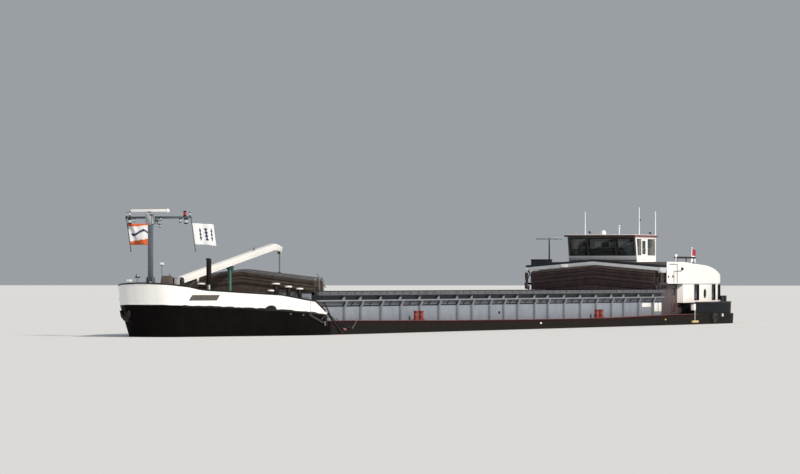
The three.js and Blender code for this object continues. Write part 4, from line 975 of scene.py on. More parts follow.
# The radar turns in a white glass fibre housing on its motor
piece("radar_bar", "radar",
      [(white_enamel, [drawn_out(shifted([(0.03, 0.055), (0.17, 0.055), (0.17, 0.14), (0.13, 0.17),
                                          (0.07, 0.17), (0.03, 0.13)], MAST_X, MAST_TOP), "y", -0.95, 0.94),
                       turned([(0.0, -0.1), (0.06, -0.08), (0.095, -0.03), (0.095, 0.03), (0.06, 0.08),
                               (0.0, 0.1)], (MAST_X + 0.1, 0.93, MAST_TOP + 0.1), (0, 1, 0), 16)]),
       (shade_darkened_mast_paint, [turned([(0.08, 0.006), (0.08, 0.03), (0.05, 0.07)], (MAST_X + 0.1, 0, MAST_TOP))])],
      ["radar_scanner"], 0.01)


# Crane
# Hydraulic deck crane of welded plate: a bolted base ring, a turning column with two cheeks, and a white
# box boom with a bent nose. A ram lifts the boom, and a short chain carries the hook.
BOOM_LENGTH = 11.3
BOOM_DEPTH = 0.32
# The ram's foot from the crane's centre, and points on the boom: ahead of its pin, and above its axis
RAM_FOOT = (-0.42, 1.95)
RAM_EYE = (-2.0, -0.28)
NOSE_PIN = (-12.08, -0.42)
HOIST_DROP = 0.95
HOOK_BEND = 0.055
BOOM_HALF_WIDTH = 0.125


def on_boom(a, b, y=0.0):
    """Point a metres forward of the boom's pin and b metres above its axis."""
    return (CRANE_X + a * math.cos(BOOM_TILT) + b * math.sin(BOOM_TILT), y,
            BOOM_PIN - a * math.sin(BOOM_TILT) + b * math.cos(BOOM_TILT))


def boom_plate(outline, y0, y1):
    return skin([[on_boom(a, b, y) for a, b in outline] for y in (y0, y1)])


# Hard chromed rod: a mirror with a thin film of oil
chrome = metal("hard_chromed_ram_rod", "#d9dcdf", "#c3c6c9", 0.14, 200)
base_ring = [turned([(0.5, 0.0), (0.5, 0.07), (0.4, 0.09), (0.38, 0.158)], (CRANE_X, 0, FORE_DECK), sides=36)]
ring_bolts = []
for k in range(12):
    turn = k * math.pi / 6
    bolt = (CRANE_X + 0.45 * math.cos(turn), 0.45 * math.sin(turn), FORE_DECK + 0.07)
    ring_bolts.append(turned([(0.03, 0), (0.03, 0.03), (0.015, 0.045)], bolt, sides=6))
piece("crane_base_ring", "ship", [(white_enamel, base_ring), (galvanised, ring_bolts)],
      ["crane_base"], 0.006)

column = [turned([(0.26, 0.166), (0.26, 0.21), (0.2, 0.26), (0.2, 0.56), (0.25, 0.66), (0.26, 0.75)],
                 (CRANE_X, 0, FORE_DECK), sides=32)]
pins = []
boom_cheek = shifted([(-0.2, 2.16), (0.2, 2.16), (0.17, 2.7), (0.09, 2.79), (-0.09, 2.79), (-0.17, 2.7)],
                     CRANE_X)
ram_lug = shifted([(-0.5, 1.87), (-0.2, 1.85), (-0.2, 2.05), (-0.46, 2.04)], CRANE_X)
for side in (1, -1):
    column += [drawn_out(boom_cheek, "y", 0.17 * side, 0.23 * side),
               drawn_out(ram_lug, "y", 0.1 * side, 0.14 * side)]
    pins += [cross_bar(CRANE_X, BOOM_PIN, 0.14 * side, 0.25 * side, 0.055),
             cross_bar(CRANE_X + RAM_FOOT[0], RAM_FOOT[1], 0.075 * side, 0.15 * side, 0.035, 12)]
    column.append(swept([(CRANE_X + 0.2, 0.1 * side, 1.8), (CRANE_X + 0.24, 0.1 * side, 2.0),
                         (CRANE_X + 0.22, 0.16 * side, 2.3)], round_section(0.018, 6)))
piece("crane_turning_column", "crane", [(anthracite, column), (galvanised, pins)],
      ["crane_column"], 0.008)

# Half the boom's depth
d = BOOM_DEPTH / 2
boom_outline = [(0.2, -d), (0.2, d), (-BOOM_LENGTH, d), (-BOOM_LENGTH - 0.5, 0.02),
                (-BOOM_LENGTH - 0.95, -0.16), (-BOOM_LENGTH - 0.8, -0.34), (-BOOM_LENGTH + 0.1, -d)]
boom = [boom_plate(boom_outline, -BOOM_HALF_WIDTH, BOOM_HALF_WIDTH)]
for level in (d - 0.012, -d + 0.012):
    boom.append(swept([on_boom(0.18, level), on_boom(-BOOM_LENGTH, level)], bar_section(0.272, 0.022)))
for a in (-0.7, -3.4, -6.1, -8.8, -11.0):
    boom.append(boom_plate([(a, -d), (a + 0.06, -d), (a + 0.06, d), (a, d)], -0.132, 0.132))
boom_fittings = [rod(on_boom(-9.0, d), on_boom(-9.0, d + 0.1), 0.05, 12),
                 rod(on_boom(-9.06, d + 0.1), on_boom(-8.94, d + 0.1), 0.035, 8)]
for side in (1, -1):
    for (a, b), low_half, top_half, top_b, pin_from in ((RAM_EYE, 0.07, 0.14, -d + 0.02, 0.05),
                                                        (NOSE_PIN, 0.06, 0.08, -0.2, 0.04)):
        boom.append(boom_plate([(a - low_half, b - low_half), (a + low_half, b - low_half),
                                (a + top_half, top_b), (a - top_half, top_b)],
                               *sorted((0.07 * side, 0.11 * side))))
        boom_fittings.append(rod(on_boom(a, b, pin_from * side), on_boom(a, b, 0.13 * side), 0.032))
boom_fittings.append(swept([on_boom(-0.4, 0.05, -0.14), on_boom(-11.2, 0.05, -0.14)],
                           round_section(0.014, 6)))
piece("crane_box_boom", "boom", [(white_enamel, boom), (galvanised, boom_fittings)],
      ["crane_boom"], 0.008)

ram_foot = Vector((CRANE_X + RAM_FOOT[0], 0, RAM_FOOT[1]))
ram_run = Vector(on_boom(*RAM_EYE)) - ram_foot
stroke_end = ram_run.length
barrel = [turned([(0.07, -0.06), (0.095, -0.02), (0.095, stroke_end - 0.3), (0.1, stroke_end - 0.29),
                  (0.1, stroke_end - 0.2), (0.055, stroke_end - 0.2)], ram_foot, ram_run),
          rod(ram_foot + Vector((0, -0.06, 0)), ram_foot + Vector((0, 0.06, 0)), 0.088, 20)]
oil_pipe = [ram_foot + ram_run.normalized() * t + Vector((0, y, lift))
            for t, y, lift in ((0.1, 0.06, 0.09), (0.25, 0.06, 0.12), (stroke_end - 0.45, 0.06, 0.12),
                               (stroke_end - 0.33, 0.05, 0.08))]
piece("ram_cylinder", "ram_barrel",
      [(anthracite, barrel), (galvanised, [swept(oil_pipe, round_section(0.014, 6))])],
      ["luffing_barrel"], 0.004)
piece("ram_piston_rod", "ram_rod",
      [(chrome, [rod(ram_foot + ram_run.normalized() * 0.35, ram_foot + ram_run, 0.045, 20)]),
       (anthracite, [rod(ram_foot + ram_run + Vector((0, -0.04, 0)),
                         ram_foot + ram_run + Vector((0, 0.04, 0)), 0.078, 20)])], ["luffing_rod"], 0.003)

hx, _, hz = on_boom(*NOSE_PIN)
block_top = hz - HOIST_DROP
# The hook's tip is drawn in by a tenth
hook_path = [(hx + HOOK_BEND * math.sin(t) * (1 if t < 3.2 else 0.9), 0,
              block_top - 0.275 + HOOK_BEND * math.cos(t))
             for t in np.linspace(0, 4.6, 14)]
piece("hoist_chain_and_hook", "hook",
      [(anthracite, [drawn_out(shifted([(-0.08, -0.03), (-0.05, 0), (0.05, 0), (0.08, -0.03), (0.08, -0.15),
                                        (0.04, -0.2), (-0.04, -0.2), (-0.08, -0.15)], hx, block_top),
                               "y", -0.05, 0.05),
                     turned([(0.04, -0.035), (0.06, -0.02), (0.06, 0.02), (0.04, 0.035), (0.04, -0.035)],
                            (hx, 0, hz), (0, 1, 0), 16)]),
       (rubbed_steel, chain((hx, 0, hz - 0.05), (hx, 0, block_top), 0.11, 0.016)
        + [swept(hook_path, round_section(0.022)),
           rod((hx, 0, block_top - 0.2), (hx, 0, block_top - 0.225), 0.03, 10)])],
      ["crane_hook"], 0.004)


# Flags
# Woven polyester bunting, hemmed, laced to the two slanting staffs of the yard and to the stern staff.
# The wind carries the bow flags out, and the stern flag hangs in folds. Their prints are plain designs.
FLAG_THREAD_MM = 14
# x, y, z of the foot, lean aft, height and radius
STERN_STAFF = (-37.7, 1.2, 1.3, 0.55, 3.3, 0.03)


def bunting(name, colour, shade):
    """Bunting: matt, thin, a little sheen across the threads, with faint creases painted as patches of shade.
    """
    material, tree = new_material(name)
    where = add_node(tree, "TexCoord").outputs["UV"]
    # Patches of the darker shade colour are painted shade for the creases
    fold_shade = add_node(tree, "TexNoise", {"Vector": where, "Scale": 5.0, "Detail": 4.0})
    tint = add_node(tree, "Mix", {"Factor": fold_shade, 6: srgb(colour), 7: srgb(shade)}, data_type="RGBA")
    # Real threads are under a millimetre apart, so they are drawn as cords of 14 mm to show at all
    threads = add_node(tree, "Mapping", {"Vector": where, "Scale": [1000 / FLAG_THREAD_MM] * 3})
    warp = add_node(tree, "TexWave", {"Vector": threads, "Scale": 0.314})
    weft = add_node(tree, "TexWave", {"Vector": threads, "Scale": 0.314}, bands_direction="Y")
    cloth = add_node(tree, "Math", {0: warp.outputs["Fac"], 1: weft.outputs["Fac"]}, operation="MULTIPLY")
    weave = add_node(tree, "Bump", {"Height": cloth, "Strength": 0.25, "Distance": 0.002})
    shader = add_node(tree, "BsdfPrincipled", {"Base Color": tint.outputs[2], "Roughness": 0.85,
                                               "Sheen Weight": 0.25, "Normal": weave})
    add_node(tree, "OutputMaterial", {"Surface": shader})
    return material


white_bunting = bunting("white_polyester_bunting", "#eef0f3", "#dfe3e8")
orange_bunting = bunting("orange_polyester_bunting", "#dd6a35", "#c6572a")
navy_bunting = bunting("navy_polyester_bunting", "#2a3360", "#1f2749")
red_bunting = bunting("red_polyester_bunting", "#a8323b", "#8b2a34")
blue_bunting = bunting("blue_polyester_bunting", "#2b4685", "#22386b")


def flag(name, body, node, corner, size, chord, fly, lean, ripple, colours, design):
    """Sheet laced along a leaning staff: ripple is its depth, length and droop at the fly."""
    width, height = size
    depth, length, droop = ripple
    out = Vector((-math.cos(fly), math.sin(fly), 0))
    across = out.cross(Vector((0, 0, 1)))
    columns, rows = 36, 24
    points, faces, corners = [], [], []
    for j in range(rows + 1):
        for i in range(columns + 1):
            u, v = i / columns, j / rows
            wave = depth * min(1, 2.2 * u) * math.sin(2 * math.pi * (u * width / length) + 1.3 * v)
            spot = (Vector(corner) + out * chord * u - Vector((lean, 0, 1)) * height * v + across * wave
                    + Vector((0, 0, -droop * u * u + 0.012 * math.sin(9 * u + 3 * v) * u)))
            points.append(place(spot))
    for j in range(rows):
        for i in range(columns):
            a = j * (columns + 1) + i
            faces.append((a, a + 1, a + columns + 2, a + columns + 1))
            corners += [(i, j), (i + 1, j), (i + 1, j + 1), (i, j + 1)]
    mesh = bpy.data.meshes.new(name)
    mesh.from_pydata(points, [], faces)
    layer = mesh.uv_layers.new(name="cut")
    for loop, (i, j) in zip(layer.data, corners):
        loop.uv = (width * i / columns, height * j / rows)
    for colour in colours:
        mesh.materials.append(colour)
    for index, face in enumerate(mesh.polygons):
        face.material_index = design((index % columns + 0.5) / columns, (index // columns + 0.5) / rows)
    sheet = bpy.data.objects.new(name, mesh)
    bpy.context.scene.collection.objects.link(sheet)
    tool = sheet.modifiers.new("cloth", "SOLIDIFY")
    tool.thickness = 0.003
    tool.offset = 0
    bake(sheet)
    sheet.data.shade_smooth()
    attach(sheet, body)
    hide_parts(node)


def banded(u, v):
    if v < 0.13 - 0.05 * u or v > 0.84 - 0.16 * u:
        return 1
    return 2 if abs(v - 0.42 - 0.1 * math.sin(7 * u)) < 0.055 and 0.12 < u < 0.9 else 0


def lozenges(u, v):
    inside = abs(u - 0.55) < 0.34 and abs(v - 0.5) < 0.3
    cells = (round(6 * (u + v)) + round(6 * (u - v))) % 3
    return 1 if inside and cells == 1 else 0


bow_lean = STAFF_AFT / STAFF_DOWN
bow_lace = (YARD_X - bow_lean * 0.28 - 0.025, YARD_HALF - 0.04, YARD_Z - 0.28)
flag("bow_bunting_port", "mast", "bow_flag_port", bow_lace, (1.2, 1.0), 1.14, math.radians(40), bow_lean,
     (0.055, 0.72, 0.06), [white_bunting, navy_bunting], lozenges)
flag("bow_bunting_starboard", "mast", "bow_flag_starboard", (bow_lace[0], -bow_lace[1], bow_lace[2]),
     (1.2, 1.0), 1.14, math.radians(40), bow_lean, (0.055, 0.66, 0.0),
     [white_bunting, orange_bunting, navy_bunting], banded)
sx, sy, sz, staff_aft, staff_height, staff_radius = STERN_STAFF
stern_lean = -staff_aft / staff_height
flag("stern_bunting", "ship", "stern_flag",
     (sx + stern_lean * (staff_height - 0.1) - 0.04, sy, sz + staff_height),
     (0.7, 1.2), 0.6, 0.0, stern_lean, (0.06, 0.33, 0.05), [red_bunting, white_bunting, blue_bunting],
     lambda u, v: min(int(v * 3), 2))
tip_x, tip_z = sx - staff_aft, sz + staff_height + 0.1
piece("stern_staff", "ship",
      [(white_enamel, [turned([(0.1, 0), (0.1, 0.02), (0.05, 0.04), (0.05, 0.18), (0.035, 0.2)],
                              (sx, sy, sz)),
                       rod((sx, sy, sz + 0.1), (tip_x, sy, tip_z), staff_radius, 12, 0.022),
                       turned([(0.02, -0.03), (0.045, 0), (0.045, 0.02), (0.0, 0.05)],
                              (tip_x, sy, tip_z - 0.02), sides=14)])], ["stern_flag_staff"], 0.004)


# Hold coaming
# Upright plating round the hold in blue grey paint, held by tapered stiffeners at every fourth or fifth
# frame. A stringer runs along it under a recess partly painted dark as shade, black bars paint the
# shadow lines below the stringer, and the grey cap rail on top carries the gantry.
COAMING = 3.86
COAMING_INNER = 3.70
COAMING_TOP = 2.1
COAMING_AFT = -24.5
COAMING_FORE = 28.0
RAIL = 4.12
FIRST_STIFFENER = 24.4
BAYS = [4, 5, 5, 5, 5, 5, 4, 5, 4, 4, 5, 4, 5, 5, 5, 5, 4, 5, 5]
# Heights of the recess, heights and outer edge of the stringer, and x and heights of the white plates
RECESS = (1.69, 1.92)
STRINGER = (1.62, 1.69, 4.06)
BLANK_PLATES = [(-22.46, -20.95, 1.08, 1.32), (-23.78, -23.0, 0.81, 1.32), (-24.42, -23.92, 0.81, 1.32)]
# Heights of the thin dark bar that runs along the panels below the stringer, a painted shadow line
LEDGE = (1.365, 1.43)
# Grey a little darker than the coaming panels
stiffener_paint = marine_paint("darker_grey_stiffener_paint", "#868d96", "#787f87", "#5d5853", 0.5, 0.35, 350)
# Cap rail worn by the gantry wheels to a dull purple grey
cap_paint = marine_paint("worn_grey_cap_rail_paint", "#52545c", "#65676e", "#403e3d", 0.55, 0.3, 500)
# Dark navy of the recess: partly its own paint, partly painted shade under the cap
recess_shade_paint = marine_paint("painted_shade_navy_recess_paint", "#272c37", "#343943", "#202226", 0.55, 0.3, 600)


def strake(y0, y1, z0, z1):
    """Bar over the coaming's whole length."""
    return slab(COAMING_AFT, COAMING_FORE, y0, y1, z0, z1)


xs = [COAMING_AFT, *[row[0] for row in SHEER[1:]], COAMING_FORE]
panels = [skin([[(x, COAMING_INNER, along(SHEER, x)), (x, COAMING, along(SHEER, x)),
                 (x, COAMING, STRINGER[0]), (x, COAMING_INNER, STRINGER[0])] for x in xs])]
recess = [strake(COAMING_INNER, COAMING, STRINGER[0], COAMING_TOP - 0.02)]
light_bars = [strake(COAMING - 0.01, STRINGER[2], STRINGER[0], STRINGER[1])]
caps = [strake(COAMING_INNER, RAIL, RECESS[1], COAMING_TOP)]
stations = [FIRST_STIFFENER]
for bay in BAYS:
    stations.append(stations[-1] - bay * FRAME_SPACING)
ribs = []
# Painted shadow lines: the dark bar along the panels and the dark strip under the stringer
shadow_bars = [strake(COAMING - 0.01, COAMING + 0.025, *LEDGE),
               strake(COAMING - 0.01, STRINGER[2] - 0.01, STRINGER[0] - 0.03, STRINGER[0])]
for x in stations:
    deck = along(SHEER, x)
    outline = [(COAMING - 0.01, deck), (COAMING + 0.13, deck), (COAMING + 0.13, LEDGE[0] - 0.05),
               (STRINGER[2] + 0.04, STRINGER[0]), (STRINGER[2] - 0.06, STRINGER[0]),
               (COAMING - 0.01, LEDGE[0])]
    ribs.append(drawn_out(outline, "x", x - 0.055, x + 0.055))
    # Painted shadow: a dark edge along the inner side of the slanting head
    shadow_bars.append(drawn_out([(COAMING - 0.01, LEDGE[0]), (COAMING + 0.05, LEDGE[0]),
                                  (STRINGER[2] - 0.01, STRINGER[0]), (STRINGER[2] - 0.07, STRINGER[0])],
                                 "x", x - 0.06, x + 0.06))
    # Gusset in the plane of the side, upright at its after edge
    light_bars.append(drawn_out([(x, STRINGER[1]), (x + 0.42, STRINGER[1]), (x + 0.05, RECESS[1] - 0.03),
                                 (x, RECESS[1] - 0.03)], "y", STRINGER[2] - 0.1, STRINGER[2] - 0.08))
# Painted shadow of a small gusset in the middle of each bay
for x in [(a + b) / 2 for a, b in zip(stations, stations[1:])]:
    shadow_bars.append(drawn_out([(COAMING - 0.01, LEDGE[1]), (COAMING + 0.03, LEDGE[1]),
                                  (STRINGER[2] - 0.02, STRINGER[0]), (STRINGER[2] - 0.06, STRINGER[0])],
                                 "x", x - 0.025, x + 0.025))
white_plates = [slab(x0, x1, COAMING - 0.01, COAMING + 0.03, z0, z1) for x0, x1, z0, z1 in BLANK_PLATES]
hooks = [drawn_out(shifted([(-0.03, 1.99), (0.03, 1.99), (0.03, 2.06), (-0.03, 2.06)], x),
                   "y", RAIL - 0.01, RAIL + 0.02)
         for x in np.arange(COAMING_AFT + 0.3, COAMING_FORE - 0.2, 2 * FRAME_SPACING)]
hooks.append(turned([(0.05, 0), (0.07, 0.03), (0.07, 0.06), (0.03, 0.08)], (2.72, COAMING, 0.93), (0, 1, 0),
                    12))
for group in (panels, recess, light_bars, caps, ribs, hooks, shadow_bars, white_plates):
    group += [mirrored(shape) for shape in group]
for x in (COAMING_AFT, COAMING_FORE - 0.16):
    foot = along(SHEER, x)
    panels.append(slab(x, x + 0.16, -COAMING_INNER, COAMING_INNER, foot, COAMING_TOP - 0.1))
    caps.append(slab(x, x + 0.16, -COAMING_INNER, COAMING_INNER, COAMING_TOP - 0.1, COAMING_TOP))
    rib_x0, rib_x1 = (x + 0.15, x + 0.21) if x > 0 else (x - 0.06, x + 0.01)
    ribs += [slab(rib_x0, rib_x1, y - 0.05, y + 0.05, foot, COAMING_TOP - 0.12)
             for y in np.linspace(-3.2, 3.2, 7)]
pale_grey = marine_paint("pale_grey_edge_paint", "#7d838b", "#8c9197", "#59544f", 0.5, 0.3, 300)
# The black trim enamel also colours the shadow bars, which are painted shadow
piece("hold_coaming_works", "ship",
      [(panel_paint, panels), (recess_shade_paint, recess), (cap_paint, caps), (stiffener_paint, ribs),
       (pale_grey, light_bars), (black_trim, hooks + shadow_bars), (white_enamel, white_plates)],
      ["hold_coaming"], 0.006)

# Painted load and frame marks on the ship's side, as plain bars
marks = [slab(-1.97, -1.71, HALF_BEAM - 0.01, HALF_BEAM + 0.008, 0.28, 0.36),
         slab(-34.2, -34.02, 4.5, 4.575, 0.45, 0.62)]
yellow_marks = [slab(-23.18, -22.94, HALF_BEAM - 0.01, HALF_BEAM + 0.008, 0.3, 0.38)]
yellow_paint = marine_paint("signal_yellow_mark_paint", "#c9a63a", "#b39334", "#5a4a33", 0.5, 0.2, 200)
piece("side_marks", "ship", [(white_enamel, both(marks)), (yellow_paint, both(yellow_marks))])


# Hatch stacks
# Piles of gabled hatch sheets lifted off the hold, one at each end: pressed metal with turned down edges,
# darkened by dust and never quite lined up. Rods lash the fore pile to the coaming.
STACK_HALF = 3.94
# x, length, heights of the top at the side and at the ridge, number of sheets
FORE_STACK = (27.48, 1.25, 2.77, 3.21, 12)
AFT_STACK = (-23.72, 1.3, 3.19, 3.55, 19)
# Dull brown grey sheet; the top two sheets of each pile take a paler paint than those under them
brown_sheet = marine_paint("dusty_brown_grey_hatch_sheet",
                           "#4d443f", "#5f5650", "#332c29", 0.6, 0.5, 500, 0.0, 0.3)
blue_sheet = marine_paint("blue_grey_top_hatch_sheet", "#77828c", "#8d969e", "#4d4946", 0.5, 0.4, 400)
black_sheet = marine_paint("sooty_dark_hatch_sheet",
                           "#3f3536", "#4e4344", "#272223", 0.62, 0.5, 500, 0.0, 0.2)
pile_random = random.Random(11)


def gabled_bar(x_low, x_high, half, side_z, ridge_z, thick):
    """Bar across the ship whose underside rises from each side to the ridge."""
    rings = []
    for y, z in ((-half, side_z), (0, ridge_z), (half, side_z)):
        rings.append([(x_low, y, z), (x_high, y, z), (x_high, y, z + thick), (x_low, y, z + thick)])
    return skin(rings)


for label, (x, length, side_z, ridge_z, count), sheet_paint, top_sheet_paint in (
        ("fore", FORE_STACK, brown_sheet, blue_sheet), ("aft", AFT_STACK, black_sheet, brown_sheet)):
    foot = COAMING_TOP + 0.006
    rise = ridge_z - side_z
    thick = (side_z - foot) / count
    sheets, top_sheets = [], []
    for k in range(count):
        dx, dy = pile_random.uniform(-0.025, 0.025), pile_random.uniform(-0.025, 0.025)
        z = foot + k * thick
        half = STACK_HALF - 0.03
        bar = gabled_bar(x - length / 2 + 0.03 + dx, x + length / 2 - 0.03 + dx, half, z, z + rise,
                         thick * 0.62)
        bar = ([(a, b + dy, c) for a, b, c in bar[0]], bar[1])
        # The top two sheets take the paler paint
        (top_sheets if k > count - 3 else sheets).append(bar)
        lip = gabled_bar(x - length / 2 + 0.055 + dx, x + length / 2 - 0.055 + dx, half - 0.03,
                         z + thick * 0.6, z + rise + thick * 0.6, thick * 0.4)
        sheets.append(lip)
    inner_x = length / 2 - 0.09
    sheets.append(skin([[(a, y, foot) for a in (x - inner_x, x + inner_x)] +
                        [(a, y, z) for a, z in ((x + inner_x, top_z), (x - inner_x, top_z))]
                        for y, top_z in ((-STACK_HALF + 0.1, side_z - 0.1), (0, ridge_z - 0.1),
                                         (STACK_HALF - 0.1, side_z - 0.1))]))
    piece(f"{label}_hatch_pile", "ship", [(sheet_paint, sheets), (top_sheet_paint, top_sheets)],
          [f"{label}_hatch_stack"], 0.005)
lashing = []
for side in (1, -1):
    y = 3.97 * side
    lashing += [rod((27.95, y, 2.98), (26.84, y, 2.3), 0.02, 8), upright(27.7, y, 2.8, 2.12, 0.03),
                upright(27.2, y, 2.8, 2.12, 0.03), slab(27.6, 27.8, 3.9 * side, 3.99 * side, 2.72, 2.8)]
piece("hatch_lashings", "ship", [(galvanised, lashing)], bevel=0.004)


# Hatch gantry
# Portal of welded box beams that straddles the covers and rolls along the cap rails to lift them.
# Light grey paint, a dark rail over the beams, a dark winch box to starboard and a white box to port.
GANTRY_X = -23.72
GANTRY_LEG = 4.25
BEAM_SIDE = 3.23
BEAM_RIDGE = 3.59
WHEEL_R = 0.13
# How far the frames and the wheels stand from the portal's middle, and the height of the axles
FRAME_REACH = 0.5
WHEEL_REACH = 0.62
AXLE_Z = COAMING_TOP + WHEEL_R + 0.002
gantry_paint = marine_paint("light_grey_gantry_paint", "#c6ccd2", "#b5bcc3", "#6b625a", 0.45, 0.35, 400)
# Legs in a dull grey brown, painted darker still as shade
leg_shade_paint = marine_paint("shade_darkened_brown_leg_paint", "#3c3534", "#4d4442", "#241f1e", 0.5, 0.5, 300, 0.0, 0.3)
beams, dark_parts, white_parts, legs, hoses = [], [], [], [], []
for x in (GANTRY_X - FRAME_REACH, GANTRY_X + FRAME_REACH):
    beams.append(gabled_bar(x - 0.09, x + 0.09, GANTRY_LEG, BEAM_SIDE, BEAM_RIDGE, 0.18))
    for lift in (0.0, 0.17):
        beams.append(gabled_bar(x - 0.1, x + 0.1, GANTRY_LEG, BEAM_SIDE + lift, BEAM_RIDGE + lift, 0.02))
    dark_parts.append(gabled_bar(x - 0.06, x + 0.06, GANTRY_LEG, BEAM_SIDE + 0.19, BEAM_RIDGE + 0.19, 0.13))
for side in (1, -1):
    y0, y1 = (GANTRY_LEG - 0.12) * side, (GANTRY_LEG + 0.02) * side
    beams.append(slab(GANTRY_X - 0.6, GANTRY_X + 0.6, y0, y1, BEAM_SIDE - 0.12, BEAM_SIDE + 0.18))
    legs.append(slab(GANTRY_X - 0.74, GANTRY_X + 0.74, y0, y1, COAMING_TOP + 0.3, COAMING_TOP + 0.42))
    for x in (GANTRY_X - FRAME_REACH, GANTRY_X + FRAME_REACH):
        legs += [slab(x - 0.05, x + 0.05, y0, y1, COAMING_TOP + 0.42, BEAM_SIDE),
                 rod((x, (y0 + y1) / 2, 2.55), (GANTRY_X, (y0 + y1) / 2, 3.1), 0.025, 8)]
        hoses.append(swept([(x + dx, (GANTRY_LEG + dy) * side, z) for dx, dy, z in (
            (0.08, 0.01, BEAM_SIDE - 0.1), (0.11, 0.01, 2.9), (0.07, -0.02, COAMING_TOP + 0.44))],
            round_section(0.025)))
    for x in (GANTRY_X - WHEEL_REACH, GANTRY_X + WHEEL_REACH):
        legs.append(drawn_out(shifted([(-0.06, 0.32), (0.06, 0.32), (0.045, 0.04), (-0.045, 0.04)],
                                      x, COAMING_TOP), "y", y0, y1))
        dark_parts.append(cross_bar(x, AXLE_Z, (GANTRY_LEG - 0.26) * side, (GANTRY_LEG + 0.04) * side, 0.033))
white_parts.append(slab(GANTRY_X + 0.59, GANTRY_X + 0.63, -2.0, -1.57, 3.44, 3.6))
# The winch box and its lid
dark_parts += [slab(GANTRY_X - 0.6, GANTRY_X - 0.35, -GANTRY_LEG, -3.0, 3.46, 3.9),
               slab(GANTRY_X - 0.62, GANTRY_X - 0.33, -GANTRY_LEG - 0.01, -2.98, 3.86, 3.92)]
# Nearly black rail and winch box, dulled by grease
greasy_dark = marine_paint("greasy_dark_gantry_paint",
                           "#20252c", "#2c3138", "#171717", 0.5, 0.3, 300, 0.0, 0.2)
piece("gantry_portal", "gantry",
      [(gantry_paint, beams), (greasy_dark, dark_parts), (white_enamel, white_parts), (leg_shade_paint, legs),
       (rubber, hoses)], ["hatch_gantry"], 0.008)
wheel_rim = [(0.0366, -0.04), (0.06, -0.04), (0.065, -0.025), (0.108, -0.025), (0.112, -0.04), (0.13, -0.04),
             (0.13, -0.02), (0.124, 0.0), (0.124, 0.04), (0.1, 0.04), (0.095, 0.028), (0.06, 0.028),
             (0.055, 0.04), (0.0366, 0.04), (0.0366, -0.04)]
# Cast steel tread polished by the rail, dull in the web
wheel_steel = metal("rolled_bright_wheel_steel", "#9a9c9e", "#6f6a66", 0.35, 80)
for label, side in SIDES:
    for end, dx in (("fore", WHEEL_REACH), ("aft", -WHEEL_REACH)):
        hub = (GANTRY_X + dx, (GANTRY_LEG - 0.2) * side, AXLE_Z)
        piece(f"rail_wheel_{end}_{label}", f"wheel_{end}_{label}",
              [(wheel_steel, [turned(wheel_rim, hub, (0, -side, 0), 36)])], [f"gantry_wheel_{end}_{label}"])


# Tyre fenders
# Worn lorry tyres hung on short chains over the quarter, where they take the rubbing against quays.
# Moulded rubber with a grooved tread, grey with dust.
TYRE = (-32.3, 4.62, 0.36)
# Radius and distance along the axle round the tyre's section
tread = [(0.165, -0.06), (0.175, -0.085), (0.25, -0.1), (0.29, -0.085), (0.305, -0.07), (0.305, -0.045),
         (0.292, -0.04), (0.292, -0.028), (0.31, -0.022), (0.31, 0.022), (0.292, 0.028), (0.292, 0.04),
         (0.305, 0.045), (0.305, 0.07), (0.29, 0.085), (0.25, 0.1), (0.175, 0.085), (0.165, 0.06)]
tread.append(tread[0])
tyre_rubber = marine_paint("grey_dusted_tyre_rubber",
                           "#363433", "#454240", "#544d46", 0.85, 0.3, 150, 0.0, 0.25)
for label, side in SIDES:
    x, y, z = TYRE
    links = chain((x, (y + 0.04) * side, z + 0.24), (x, 4.6 * side, 1.22), 0.12, 0.014)
    piece(f"hung_tyre_{label}", "ship",
          [(tyre_rubber, [turned(tread, (x, y * side, z), (0, side * 0.98, -0.19), 40)]),
           (black_trim, links)], [f"tyre_fender_{label}"])


# Poop
# Raised after deck of welded plate in dark blue grey paint, with a flat cap bar and a red brown deck.
POOP_START = -29.0
POOP_DECK = 1.3
POOP_INSET = 0.14
poop_paint = marine_paint("dark_blue_grey_poop_paint",
                          "#171a20", "#1f242b", "#121316", 0.55, 0.35, 900, 0.1, 0.05)
poop = mesh_object("poop_plating", [(poop_paint, [
    loft(stern_rings([SIDE_DECK_AFT, 1.0, POOP_DECK], POOP_INSET)[::-1])])])
poop.data.materials.append(deck_paint)
trim(poop, [slab(POOP_START, 0, -6, 6, -3, 4)])
finish_piece(poop, "ship", ["poop_deck"], 0.0, 30,
             lambda centre, normal: 1 if normal.z > 0.9 else 0)
poop_ring = [ring[0] for ring in stern_rings([POOP_DECK], POOP_INSET + 0.02)]
poop_path = [point for point in poop_ring if point[0] <= POOP_START]
poop_path += [(x, -y, z) for x, y, z in poop_path[::-1]]
cap_bars = [swept([(x, y, z + 0.02) for x, y, z in poop_path], bar_section(0.12, 0.07)),
            *both([slab(-29.0, -28.2, 4.4, 4.52, 1.24, 1.32)])]
fenders = [rod((-28.43, 4.65 * side, 0.2), (-28.51, 4.62 * side, 0.85), 0.015, 8) for side in (1, -1)]
logs = [rod((-29.05, 4.62 * side, 0.17), (-28.0, 4.62 * side, 0.17), 0.07, 14) for side in (1, -1)]
# Softwood fender log, yellow where ropes and walls have rubbed off the grey
fender_wood = marine_paint("rubbed_softwood_fender", "#d2c08c", "#b7a272", "#75654c", 0.75, 0.3, 120)
piece("poop_edge", "ship",
      [(black_trim, cap_bars), (white_enamel, fenders), (fender_wood, logs)], bevel=0.012)


# Deckhouse
# Welded steel house in white enamel, its upper part set slightly proud and rounded down to the stern.
# Windows sit in black rubber, and cable conduits are clamped to its sides.
HOUSE_HALF = 4.0
HOUSE_FORE = -24.9
HOUSE_AFT = -36.9
HOUSE_MID = 2.5
HOUSE_WIDE = -28.15
HOUSE_CORNER = 2.1
HOUSE_ROOF = 3.76
WALL = 0.14
